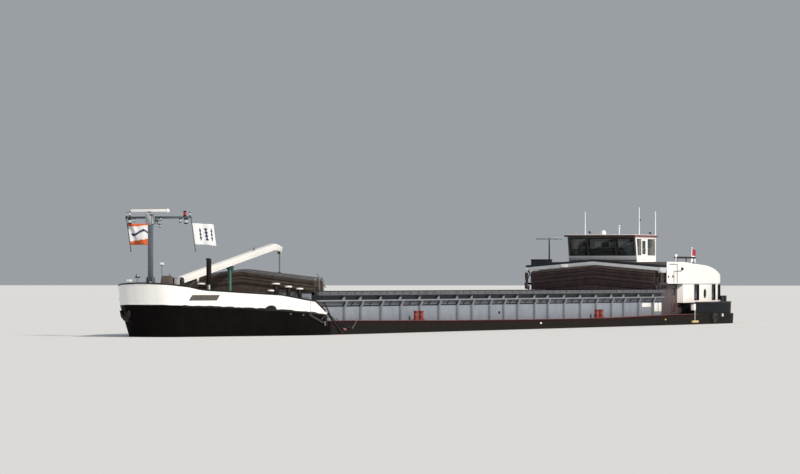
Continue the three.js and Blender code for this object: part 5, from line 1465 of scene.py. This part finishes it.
# How far the upper part stands proud of the lower
UPPER_PROUD = 0.06
# x0, x1, y of the wall, sill and head
ENTRANCE = (-27.95, -27.1, 3.6, 0.75, 2.4)
# x0, x1, sill and head of each; x, z and half sizes of the oval one
SIDE_WINDOWS = [(-31.1, -30.3, 1.5, 2.36), (-34.3, -33.7, 1.5, 2.36), (-35.25, -34.85, 1.5, 2.36)]
PORTHOLE = (-32.23, 1.86, 0.14, 0.21)
# y of the three after windows, their half width, sill and head
AFTER_WINDOWS = (-1.6, 0, 1.6)
AFTER_HALF, AFTER_SILL, AFTER_HEAD = 0.35, 1.6, 2.3
# x from which the roof slopes down to the stern
ROOF_BREAK = -28.3


def house_plan(half, fore, aft, radius, steps=12):
    """Plan with two rounded after corners."""
    points = [(fore, -half), (fore, half)]
    for sign in (1, -1):
        arc = [(aft + radius - radius * math.sin(t), sign * (half - radius + radius * math.cos(t)))
               for t in np.linspace(0, math.pi / 2, steps)]
        points += arc if sign > 0 else arc[::-1]
    return points


def glazing(name, tint, clear=0.6):
    """Float glass: smooth and clear, tinted against the sun."""
    material, tree = new_material(name)
    where = add_node(tree, "TexCoord").outputs["Object"]
    film = add_node(tree, "TexNoise", {"Vector": where, "Scale": per(600), "Detail": 3.0})
    haze = add_node(tree, "MapRange", {"Value": film, "To Min": 0.03, "To Max": 0.12})
    colour = add_node(tree, "Mix", {"Factor": film, 6: srgb(tint),
                                    7: [0.85 * part for part in srgb(tint)[:3]] + [1.0]}, data_type="RGBA")
    shader = add_node(tree, "BsdfPrincipled", {"Base Color": colour.outputs[2], "Roughness": haze,
                                               "IOR": 1.52, "Transmission Weight": clear})
    add_node(tree, "OutputMaterial", {"Surface": shader})
    return material


# Sun tinted glass: dark from outside, with a soft reflection of the sky
tinted_glass = glazing("sun_tinted_window_glass", "#26313a")
# Wheelhouse glass is clear, so that the console and the chair are seen through it
bridge_glass = glazing("clear_wheelhouse_glass", "#8a9494", 0.92)
# White paint yellowed a little by engine smoke, under rain marks
house_enamel = marine_paint("white_deckhouse_enamel", "#f6f6f5", "#eeefee", "#c6bcb1", 0.32, 0.12, 1200, 0.03)
# Lilac brown in the sheltered side entrances: painted shade on the walls set back from the house side
entrance_shade_paint = marine_paint("painted_shade_lilac_brown_entrance", "#463d43", "#544a50", "#2f282c", 0.45, 0.3, 500)
lower = mesh_object("deckhouse_lower_shell", [(house_enamel, [
    drawn_out(house_plan(HOUSE_HALF, HOUSE_WIDE, HOUSE_AFT, HOUSE_CORNER), "z", POOP_DECK + 0.002,
              HOUSE_MID - 0.002)])])
wide = ENTRANCE[2]
trim(lower, [slab(POOP_START + 0.002, HOUSE_FORE, -wide, wide, SIDE_DECK_AFT + 0.002, HOUSE_MID - 0.002)],
     "UNION")
inner_wide = wide - WALL
cuts = [drawn_out(house_plan(HOUSE_HALF - WALL, HOUSE_WIDE - WALL, HOUSE_AFT + WALL, HOUSE_CORNER - 0.1), "z",
                  1.2, 2.7),
        slab(POOP_START + WALL, HOUSE_FORE - WALL, -inner_wide, inner_wide, 0.5, 2.7),
        slab(-30, -28, -inner_wide, inner_wide, 1.2, 2.7),
        slab(ENTRANCE[0], ENTRANCE[1], -5, 5, ENTRANCE[3], ENTRANCE[4])]
cuts += [slab(a, b, -5, 5, c, e) for a, b, c, e in SIDE_WINDOWS]
cuts += [slab(HOUSE_AFT - 1, HOUSE_AFT + 1, y - AFTER_HALF, y + AFTER_HALF, AFTER_SILL, AFTER_HEAD)
         for y in AFTER_WINDOWS]
trim(lower, cuts)
lower.data.materials.append(entrance_shade_paint)
# Slot 1, the painted shade, covers the set back fore part of the lower house
finish_piece(lower, "ship", ["deckhouse_lower"], 0.015, 35,
             lambda centre, normal: int(centre.x > HOUSE_WIDE - 0.02 and abs(centre.y) < ENTRANCE[2] + 0.02))


def house_profile(inset):
    """Side view of the upper part: level roof, then a slope that rounds down to the stern."""
    rows = [(HOUSE_FORE - inset, HOUSE_MID), (HOUSE_FORE - inset, HOUSE_ROOF - inset),
            (ROOF_BREAK, HOUSE_ROOF - inset)]
    hump = refined([(ROOF_BREAK, HOUSE_ROOF), (-30, 3.67), (-32.7, 3.53), (-34.2, 3.3), (-35.4, 2.95),
                    (-37.0 + inset, HOUSE_MID)], 4)
    return rows + [(x, z - inset * (x > -36.5)) for x, z in hump[1:]]


def upper_part(name, inset):
    """Solid of the upper part, its side view cut to its plan with the rounded after corners."""
    half = upper_half - inset
    made = mesh_object(name, [(house_enamel, [drawn_out(house_profile(inset), "y", -half, half)])])
    proud = UPPER_PROUD - inset
    trim(made, [drawn_out(house_plan(half, -20, HOUSE_AFT - proud, HOUSE_CORNER + proud), "z", 2, 4)],
         "INTERSECT")
    return made


upper_half = HOUSE_HALF + UPPER_PROUD
upper = upper_part("deckhouse_upper_shell", 0)
hollow = upper_part("hollow", WALL)
tool = upper.modifiers.new("hollow", "BOOLEAN")
tool.object, tool.solver = hollow, "EXACT"
bake(upper)
bpy.data.objects.remove(hollow)
# Brown grey on the faces that look forward: partly the walls' own brown, partly painted shade
fore_shade_grey = marine_paint("painted_shade_brown_grey_fore_wall", "#5b5352", "#696160", "#38312f", 0.45, 0.2, 600)
upper.data.materials.append(fore_shade_grey)
finish_piece(upper, "ship", ["deckhouse_upper"], 0.02, 35,
             lambda centre, normal: int(normal.x > 0.9 and centre.x > HOUSE_FORE - 0.1))

seals, panes, pipes, dark_bits, white_bits = [], [], [], [], []


def frame_bars(a, b, low, high, rim, lap):
    """Span and heights of four bars round an opening: rim lies on its wall and lap inside it."""
    return ((a - rim, a + lap, low - rim, high + rim), (b - lap, b + rim, low - rim, high + rim),
            (a, b, low - rim, low + lap), (a, b, high - lap, high + rim))


def side_window(x_low, x_high, z_low, z_high, y, side, group, rim):
    """Frame round a pane in a wall that faces abeam."""
    for a, b, c, e in frame_bars(x_low, x_high, z_low, z_high, rim, 0.02):
        group.append(slab(a, b, (y - 0.03) * side, (y + 0.025) * side, c, e))
    panes.append(slab(x_low, x_high, (y - 0.05) * side, (y - 0.03) * side, z_low, z_high))


for side in (1, -1):
    for opening in SIDE_WINDOWS:
        side_window(*opening, HOUSE_HALF, side, seals, 0.05)
    px, pz, pa, pb = PORTHOLE
    ring_points = [(1.0, 0), (1.25, 0.02), (1.3, 0.05), (1.05, 0.07)]
    oval = turned([(r * pa, h) for r, h in ring_points], (0, 0, 0), (0, side, 0), 28)
    glass = turned([(0.98 * pa, 0.01), (0.98 * pa, 0.03)], (0, 0, 0), (0, side, 0), 28)
    fit = Matrix.Translation((px, HOUSE_HALF * side, pz)) @ Matrix.Diagonal((1, 1, pb / pa, 1))
    dark_bits.append(moved(oval, fit))
    panes.append(moved(glass, fit @ Matrix.Translation((0, 0.05 * side, 0))))
    wall_y = (upper_half + 0.02) * side
    for path in ([(-25.39, 3.62), (-26.79, 3.62), (-26.79, 2.5)], [(-26.18, 3.2), (-27.55, 3.21)],
                 [(-26.18, 3.2), (-26.18, 2.5)]):
        pipes.append(swept([(x, wall_y, z) for x, z in path], round_section(0.022)))
        for (xa, za), (xb, zb) in zip(path, path[1:]):
            middle = ((xa + xb) / 2, (za + zb) / 2)
            pipes.append(slab(middle[0] - 0.03, middle[0] + 0.03, upper_half * side, wall_y + 0.03 * side,
                              middle[1] - 0.03, middle[1] + 0.03))
    dark_bits.append(turned([(0.05, 0), (0.09, 0.02), (0.09, 0.1), (0.04, 0.13)],
                            (-27.64, upper_half * side, 3.34), (0, side, 0), 18))
    for x, z in ((-25.17, 2.87), (-25.95, 2.89)):
        dark_bits.append(turned([(0.07, 0), (0.07, 0.04), (0.03, 0.05)], (x, upper_half * side, z),
                                (0, side, 0), 12))
    white_bits.append(slab(-34.6, HOUSE_FORE, HOUSE_HALF * side, wall_y, 2.46, 2.5))
    # Fender bracket on the poop's fore end, and a round lamp on the house's fore corner
    white_bits.append(slab(-29.05, -28.7, 4.3 * side, 4.5 * side, 0.85, 1.25))
    white_bits.append(turned([(0.02, 0), (0.09, 0.02), (0.09, 0.08), (0.0, 0.1)], (-24.89, 3.9 * side, 2.02),
                             (1, 0, 0), 18))
for y in AFTER_WINDOWS:
    seals += [slab(HOUSE_AFT - 0.03, HOUSE_AFT + 0.03, y + a, y + b, c, e) for a, b, c, e in (
        (-0.4, 0.4, 2.27, 2.35), (-0.4, 0.4, 1.55, 1.63), (-0.4, -0.32, 1.55, 2.35), (0.32, 0.4, 1.55, 2.35))]
    panes.append(slab(HOUSE_AFT + 0.06, HOUSE_AFT + 0.08, y - AFTER_HALF, y + AFTER_HALF,
                      AFTER_SILL, AFTER_HEAD))
# Folding awning spar, lamp and skylight on the house roof
dark_bits.append(skin([[(x, y + b, z + c) for b, c in round_section(0.06, 8)]
                       for x, y, z in ((-31.6, 2.3, 4.05), (-35.6, 2.3, 4.05))]))
dark_bits += [upright(x, 2.3, z, 4.05, 0.035) for x, z in ((-32.0, 3.5), (-33.8, 3.3), (-35.3, 2.9))]
white_bits += [upright(-29.76, 3.0, 3.66, 4.1, 0.03),
               turned([(0.07, 0), (0.09, 0.05), (0.09, 0.12), (0.03, 0.17)], (-29.76, 3.0, 4.08), sides=16),
               slab(-31.2, -30.2, -0.8, 0.8, 3.55, 3.86), slab(-33.6, -33.0, -1.6, -1.0, 3.4, 3.62)]
dark_bits.append(slab(-31.1, -30.3, -0.7, 0.7, 3.86, 3.89))
seal_rubber = marine_paint("black_window_seal_rubber", "#141416", "#202022", "#33302d", 0.7, 0.1, 200)
piece("deckhouse_windows", "ship", [(tinted_glass, panes), (seal_rubber, seals)], bevel=0.006)
piece("deckhouse_fittings", "ship",
      [(pale_grey, pipes), (black_trim, dark_bits), (house_enamel, white_bits)], bevel=0.006)
# Plain lining closes the rooms, so no sky shows through the windows
lining_paint = marine_paint("varnished_oak_lining", "#5a4331", "#6c523b", "#3a2b20", 0.4, 0.2, 300)
lining = [slab(-36.3, -24.6, -3.4, 3.4, 2.44, 2.48), slab(-33.4, -33.3, -3.7, 3.7, 1.31, 2.45),
          slab(-29.4, -29.3, -3.4, 3.4, 1.31, 2.45), slab(-32.9, -30.0, -0.2, 0.2, 1.31, 1.9),
          slab(-36.2, -34.0, -0.7, 0.7, 1.31, 1.75)]
piece("cabin_lining", "ship", [(lining_paint, lining)], bevel=0.01)


# Doors
# Steel leaves hung on three knuckles at their fore edge, each with a framed pane and a lever handle:
# brown at the side entrances, white at the wheelhouse.
# Width, height, thickness, and the heights between which the pane sits
CABIN_LEAF = (0.83, 1.6, 0.06, 1.0, 1.4)
BRIDGE_LEAF = (0.83, 1.26, 0.05, 0.35, 1.15)
# x of its fore and after walls, half width, floor and top; x0, x1, sill and head of its door
WHEELHOUSE = (-24.7, -28.5, 2.15, 3.76, 5.26)
WHEELHOUSE_DOOR = (-26.75, -25.9, 3.85, 5.15)
# Width of a leaf's upright members
STILE = 0.12
door_brown = marine_paint("pinkish_brown_door_enamel", "#4c3836", "#5b4542", "#312524", 0.38, 0.3, 300)


def door(name, body, node, hinge, side, leaf, paint, glass):
    """Leaf that reaches aft from its hinge: stiles and panels, framed pane, knuckles, lever on both faces."""
    width, height, thick, window_low, window_high = leaf
    x, y, z = hinge
    y0, y1 = sorted((y, y - thick * side))
    middle = (y0 + y1) / 2
    leaves = [slab(x - a, x - b, y0, y1, z + c, z + e) for a, b, c, e in (
        (width, width - STILE, 0, height), (STILE, 0, 0, height), (width - 0.1, 0.1, 0, window_low),
        (width - 0.1, 0.1, window_high, height))]
    leaves.append(slab(x - width + 0.16, x - 0.16, y0 - 0.004, y1 + 0.004, z + 0.1, z + window_low - 0.08))
    rubber_bars = [slab(x - b, x - a, y0 - 0.003, y1 + 0.003, z + c, z + e)
                   for a, b, c, e in frame_bars(STILE, width - STILE, window_low, window_high, 0, 0.03)]
    knobs = [upright(x, y, z + height * share - 0.06, z + height * share + 0.06, 0.009, 12)
             for share in (0.2, 0.5, 0.8)]
    lever_x, lever_z = x - width + 0.07, z + height * 0.48
    for sign in (1, -1):
        lever_y = middle + sign * (thick / 2 + 0.02)
        knobs += [cross_bar(lever_x, lever_z, middle, lever_y, 0.016, 10),
                  rod((lever_x, lever_y, lever_z), (x - width + 0.18, lever_y, lever_z), 0.012, 8)]
    pane = slab(x - width + STILE, x - STILE, middle - 0.005, middle + 0.005, z + window_low, z + window_high)
    piece(name, body, [(paint, leaves), (seal_rubber, rubber_bars), (galvanised, knobs),
                             (glass, [pane])], [node], 0.003)


house_fore, house_aft, bridge_half, bridge_floor, bridge_top = WHEELHOUSE
for label, side in SIDES:
    door(f"cabin_door_leaf_{label}", f"cabin_door_{label}", f"deckhouse_door_{label}",
         (ENTRANCE[1] - 0.01, (ENTRANCE[2] - 0.02) * side, ENTRANCE[3] + 0.02), side, CABIN_LEAF, door_brown,
         tinted_glass)
    door(f"bridge_door_leaf_{label}", f"bridge_door_{label}", f"wheelhouse_door_{label}",
         (WHEELHOUSE_DOOR[1] - 0.01, (bridge_half - 0.02) * side, WHEELHOUSE_DOOR[2] + 0.02), side,
         BRIDGE_LEAF, house_enamel, bridge_glass)


# Wheelhouse
# White steel and aluminium box of windows on the house roof, with tinted panes in black rubber. Inside
# stand the steering console and the helmsman's chair.
SILL = 4.13
LINTEL = 5.16
FRONT_PANES = [(-2.02, -0.93), (-0.83, 0.83), (0.93, 2.02)]
SIDE_PANES = [(-25.8, -24.85), (-28.35, -26.85)]
BRIDGE_WALL = 0.09
# The part ahead of this x leans forward by this much for each metre of height
LEANS_FROM = -25
RAKE = 0.2
# Heights of the pale grey strip under the windscreen: painted shade on its white wall
SILL_SHADE_STRIP = (3.88, 4.12)
bridge = mesh_object("wheelhouse_walls", [(house_enamel, [
    slab(house_aft, house_fore, -bridge_half, bridge_half, bridge_floor + 0.002, bridge_top - 0.002)])])
cuts = [slab(house_aft + BRIDGE_WALL, house_fore - BRIDGE_WALL, -bridge_half + BRIDGE_WALL,
             bridge_half - BRIDGE_WALL, bridge_floor - 0.1, bridge_top + 0.1),
        slab(WHEELHOUSE_DOOR[0], WHEELHOUSE_DOOR[1], -3, 3, WHEELHOUSE_DOOR[2], WHEELHOUSE_DOOR[3])]
cuts += [slab(house_aft - 1, house_fore + 1, y0, y1, SILL, LINTEL) for y0, y1 in FRONT_PANES]
cuts += [slab(*x_pair, -3, 3, SILL, LINTEL) for x_pair in SIDE_PANES]
trim(bridge, cuts)


def raked(point):
    """The windscreen leans forward at its top."""
    x, y, z = point
    return (x - RAKE * (bridge_top - z) if x > LEANS_FROM else x, y, z)


for vertex in bridge.data.vertices:
    vertex.co = place(raked(vertex.co / SHIP_TO_MODEL - Vector((0, 0, DRAUGHT))))
# The windscreen's frame is brown grey above its white sill, partly painted shade on its forward faces
bridge.data.materials.append(fore_shade_grey)
finish_piece(bridge, "ship", ["wheelhouse"], 0.01, 35,
             lambda centre, normal: int(centre.z > SILL - 0.02 and centre.x > LEANS_FROM and normal.x > 0.5))

seals, panes, white_seals = [], [], []
for x, outward in ((house_fore, 1), (house_aft, -1)):
    for y0, y1 in FRONT_PANES:
        seals += [slab(x - 0.02, x + 0.02, a, b, c, e)
                  for a, b, c, e in frame_bars(y0, y1, SILL, LINTEL, 0.02, 0.03)]
        panes.append(slab(x - 0.03 * outward, x - 0.05 * outward, y0, y1, SILL, LINTEL))
for side in (1, -1):
    for x0, x1 in SIDE_PANES:
        side_window(x0, x1, SILL, LINTEL, bridge_half, side, white_seals, 0.02)
# Pale grey strip under the windscreen, painted shade on the white wall that faces forward
sill_shade_strip = [slab(house_fore - 0.01, house_fore + 0.03, -bridge_half, bridge_half, *SILL_SHADE_STRIP)]
blinds = [slab(house_fore - 0.14, house_fore - 0.12, low_y, high_y, 4.95, LINTEL)
          for low_y, high_y in FRONT_PANES[1:]]
seals, panes, white_seals, sill_shade_strip, blinds = [
    [([raked(point) for point in points], faces) for points, faces in group]
    for group in (seals, panes, white_seals, sill_shade_strip, blinds)]
piece("wheelhouse_glazing", "ship",
      [(bridge_glass, panes), (seal_rubber, seals), (house_enamel, white_seals),
       (pale_mast_paint, sill_shade_strip), (fore_shade_grey, blinds)], bevel=0.004)

# Console of laminated board, chair in black leather on a steel post
leather = marine_paint("black_grained_leather", "#1f1d1d", "#2d2927", "#3b342f", 0.45, 0.1, 60)
console = [drawn_out([(-25.9, 3.77), (-25.2, 3.77), (-24.95, 4.25), (-25.25, 4.6), (-25.9, 4.42)],
                     "y", -1.2, 1.2),
           slab(-28.3, -27.7, -1.9, 1.9, 3.77, 4.3)]
chair = [slab(-26.9, -26.4, -0.28, 0.28, 4.28, 4.4), slab(-27.0, -26.88, -0.26, 0.26, 4.4, 5.0),
         slab(-26.85, -26.5, -0.34, -0.27, 4.5, 4.56), slab(-26.85, -26.5, 0.27, 0.34, 4.5, 4.56)]
stand = [upright(-26.65, 0, 3.77, 4.3, 0.05, 12),
         turned([(0.3, 0), (0.3, 0.03), (0.05, 0.06)], (-26.65, 0, 3.765), sides=20),
         turned([(0.2, 0), (0.22, 0.02), (0.2, 0.04), (0.18, 0.02), (0.2, 0)], (-25.98, 0, 4.5), (1, 0, 0.6),
                24)]
screens = [slab(-25.32, -25.28, y - 0.2, y + 0.2, 4.62, 4.9) for y in (-0.75, 0.0, 0.75)]
piece("steering_console", "ship",
      [(lining_paint, console), (leather, chair), (galvanised, stand), (seal_rubber, screens)], bevel=0.02)


# Wheelhouse roof
# White roof sheet with a red brown fascia bent down round its edge. It carries whip aerials, a white
# aerial dome, a horn pair and a lamp.
# x, y, top, height of the yard and its half width
SIGNAL_MAST = (-25.2, -3.5, 5.26, 5.12, 0.84)
# x, y and top of each
WHIPS = [(-25.2, -1.2, 6.78), (-27.3, 1.5, 7.05), (-28.5, 2.12, 6.82)]
x0, x1 = house_aft - 0.15, house_fore + 0.35
half = bridge_half + 0.08
fascia_red = marine_paint("red_brown_fascia_enamel",
                          "#6e2f2f", "#7d3f3d", "#442523", 0.45, 0.25, 400, 0.0, 0.3)
fascia = [slab(x0, x1, -half, half, bridge_top, bridge_top + 0.1)]
# Dark brown along the fore edge: painted shade on the fascia's forward face
fascia_shade_paint = marine_paint("painted_shade_brown_fascia_enamel",
                           "#2e2626", "#3b3131", "#1d1818", 0.5, 0.25, 400, 0.0, 0.2)
fore_fascia_shade = [slab(x1 - 0.02, x1 + 0.015, -half, half, bridge_top, bridge_top + 0.1)]
cover = [slab(x0 + 0.06, x1 - 0.06, -half + 0.06, half - 0.06, bridge_top + 0.09, bridge_top + 0.13),
         turned([(0.13, 0), (0.15, 0.03), (0.15, 0.13), (0.13, 0.2), (0.08, 0.26), (0.0, 0.28)],
                (-25.09, 0, bridge_top + 0.12), sides=28),
         upright(-27.95, 0, bridge_top + 0.1, 5.8, 0.03, 10)]
aerials, horns = [], []
for x, y, top in WHIPS:
    aerials.append(rod((x, y, bridge_top + 0.3), (x, y, top), 0.032, 8, 0.022))
    aerials.append(turned([(0.05, 0), (0.05, 0.03), (0.03, 0.05), (0.03, 0.22), (0.018, 0.24)],
                          (x, y, bridge_top + 0.1), sides=14))
horns.append(turned([(0.03, -0.06), (0.05, 0.0), (0.03, 0.08)], (-27.43, 1.5, 6.28), sides=12))
horns.append(rod((-27.43, 1.5, 6.28), (-27.3, 1.5, 6.28), 0.012, 6))
for x, y, z in ((-25.48, -1.0, 5.55), (-28.5, 1.8, 5.52)):
    horns.append(turned([(0.012, -0.14), (0.018, -0.03), (0.03, 0.05), (0.06, 0.1), (0.05, 0.1),
                         (0.018, 0.03)], (x, y, z), (1, 0, 0), 16))
    horns.append(upright(x - 0.1, y, bridge_top + 0.1, z, 0.018))
bodies, lens = lantern(-27.95, 0, 5.78, 0.07, 0.2)
piece("wheelhouse_roof_works", "ship",
      [(fascia_red, fascia), (fascia_shade_paint, fore_fascia_shade), (house_enamel, cover + bodies),
       (white_enamel, aerials), (black_trim, horns), (clear_glass, [lens])], ["wheelhouse_roof"], 0.012)

# Signal mast on the fore end of the house roof: a black tube with a pale yard for day signals
tee_x, tee_y, tee_top, arm_z, arm_half = SIGNAL_MAST
signal = [rod((tee_x, tee_y, HOUSE_ROOF + 0.002), (tee_x, tee_y, tee_top), 0.045, 14, 0.035),
          turned([(0.14, 0), (0.14, 0.02), (0.06, 0.04)], (tee_x, tee_y, HOUSE_ROOF), sides=16)]
yard = [cross_bar(tee_x, arm_z + 0.06, tee_y - arm_half, tee_y + arm_half, 0.06, 12)]
for y in (-arm_half + 0.04, -0.4, 0.4, arm_half - 0.04):
    yard.append(turned([(0.02, -0.06), (0.03, -0.03), (0.03, 0.0)], (tee_x, tee_y + y, arm_z + 0.02),
                       sides=10))
piece("signal_tee", "ship", [(black_trim, signal), (pale_mast_paint, yard)], ["signal_mast"],
      0.003)


# Screw and rudders
# Four bladed cast bronze screw in a steel nozzle under the counter, driven by the diesel ahead of it,
# with two steel blade rudders behind.
SHAFT_Z = -1.58
PROP_X = -33.85
PROP_R = 0.75
RUDDER_X = -35.75
RUDDER_SPAN = (-2.4, -0.82)
# The blade's half thickness is this times the root of a share of its length, less that share
RUDDER_BULGE = 0.1287
PITCH = 1.05
# Nickel aluminium bronze, milled smooth and browned by the water
bronze = metal("milled_propeller_bronze", "#b08d57", "#8a6a3f", 0.3, 120)
blades = [turned([(0.0, -0.25), (0.09, -0.2), (0.13, -0.05), (0.13, 0.2), (0.125, 0.22)],
                 (PROP_X, 0, SHAFT_Z), (1, 0, 0), 28)]
for k in range(4):
    turn = k * math.pi / 2
    outward = Vector((0, math.cos(turn), math.sin(turn)))
    tangent = Vector((0, -math.sin(turn), math.cos(turn)))
    rings = []
    for share in np.linspace(0, 1, 9):
        radius = 0.1 + (PROP_R - 0.11) * share
        chord = 0.08 + 0.42 * math.sin(math.pi * min(0.15 + share * 0.8, 0.97)) ** 0.8
        pitch = math.atan(PITCH / (2 * math.pi * radius))
        chord = min(chord, 0.4 / max(math.sin(pitch), 0.5))
        run = tangent * math.cos(pitch) + Vector((1, 0, 0)) * math.sin(pitch)
        face = Vector((1, 0, 0)) * math.cos(pitch) - tangent * math.sin(pitch)
        thick = 0.05 * (1 - 0.8 * share)
        rings.append([Vector((PROP_X, 0, SHAFT_Z)) + outward * radius + run * chord / 2 * math.cos(t)
                      + face * thick / 2 * math.sin(t) for t in np.arange(10) * math.pi / 5])
    blades.append(skin(rings))
piece("screw_blades", "screw", [(bronze, blades)], ["propeller"], 0.0, 50)
ring = [(0.79, -0.35), (0.815, -0.375), (0.845, -0.36), (0.86, 0.0), (0.87, 0.28), (0.865, 0.34),
        (0.84, 0.36), (0.81, 0.32), (0.79, 0.2), (0.79, -0.35)]
nozzle = [turned(ring, (PROP_X, 0, SHAFT_Z), (1, 0, 0), 48),
          drawn_out(shifted([(-0.25, SHAFT_Z + 0.82), (0.25, SHAFT_Z + 0.82), (0.3, COUNTER),
                             (-0.3, COUNTER)], PROP_X), "y", -0.12, 0.12)]
piece("screw_nozzle", "ship", [(black_paint, nozzle)], ["propeller_nozzle"], 0.006)
blade_low, blade_high = RUDDER_SPAN
for label, side in SIDES:
    stock = (RUDDER_X, 0.5 * side)
    cheek = [(0.25, 0.0), *((0.25 - 1.1 * t, RUDDER_BULGE * (math.sqrt(t) - t)) for t in
                            np.linspace(0.03, 0.97, 12)), (-0.85, 0.0)]
    section = shifted([*cheek, *((a, -b) for a, b in cheek[-2:0:-1])], *stock)
    blade = [drawn_out(section, "z", blade_low, blade_high),
             drawn_out(shifted([(0.25, -0.09), (-0.82, -0.06), (-0.82, 0.06), (0.25, 0.09)], *stock),
                       "z", blade_low, blade_low + 0.03),
             upright(RUDDER_X, 0.5 * side, blade_high - 0.02, COUNTER - 0.002, 0.07, 20)]
    piece(f"rudder_blade_{label}", f"{label}_rudder", [(black_paint, blade)],
          [f"rudder_{label}"], 0.01)

# The diesel fills the room under the house: ribbed block, heads, and pipes over a grey painted bed
machine_green = marine_paint("oily_grey_green_engine_enamel", "#6f7f78", "#5f6d67", "#3a332c", 0.3, 0.4, 300)
engine = [slab(-30.15, -26.95, -0.5, 0.5, -2.09, -1.85), slab(-30.0, -27.1, -0.42, 0.42, -1.85, -1.05)]
cylinders = np.linspace(-29.7, -27.4, 6)
engine += [slab(x - 0.16, x + 0.16, -0.3, 0.3, -1.05, -0.72) for x in cylinders]
manifold = [rod((-29.9, 0.5, -0.95), (-27.2, 0.5, -0.95), 0.1, 14)]
manifold += [rod((x, 0.3, -0.85), (x, 0.5, -0.93), 0.06, 10) for x in cylinders]
manifold.append(turned([(0.3, 0), (0.4, 0.04), (0.4, 0.1), (0.3, 0.14)], (-27.1, 0, -1.45), (1, 0, 0), 28))
piece("diesel_engine", "ship", [(machine_green, engine), (sooty_steel, manifold)], ["engine"],
      0.015)


low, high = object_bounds()
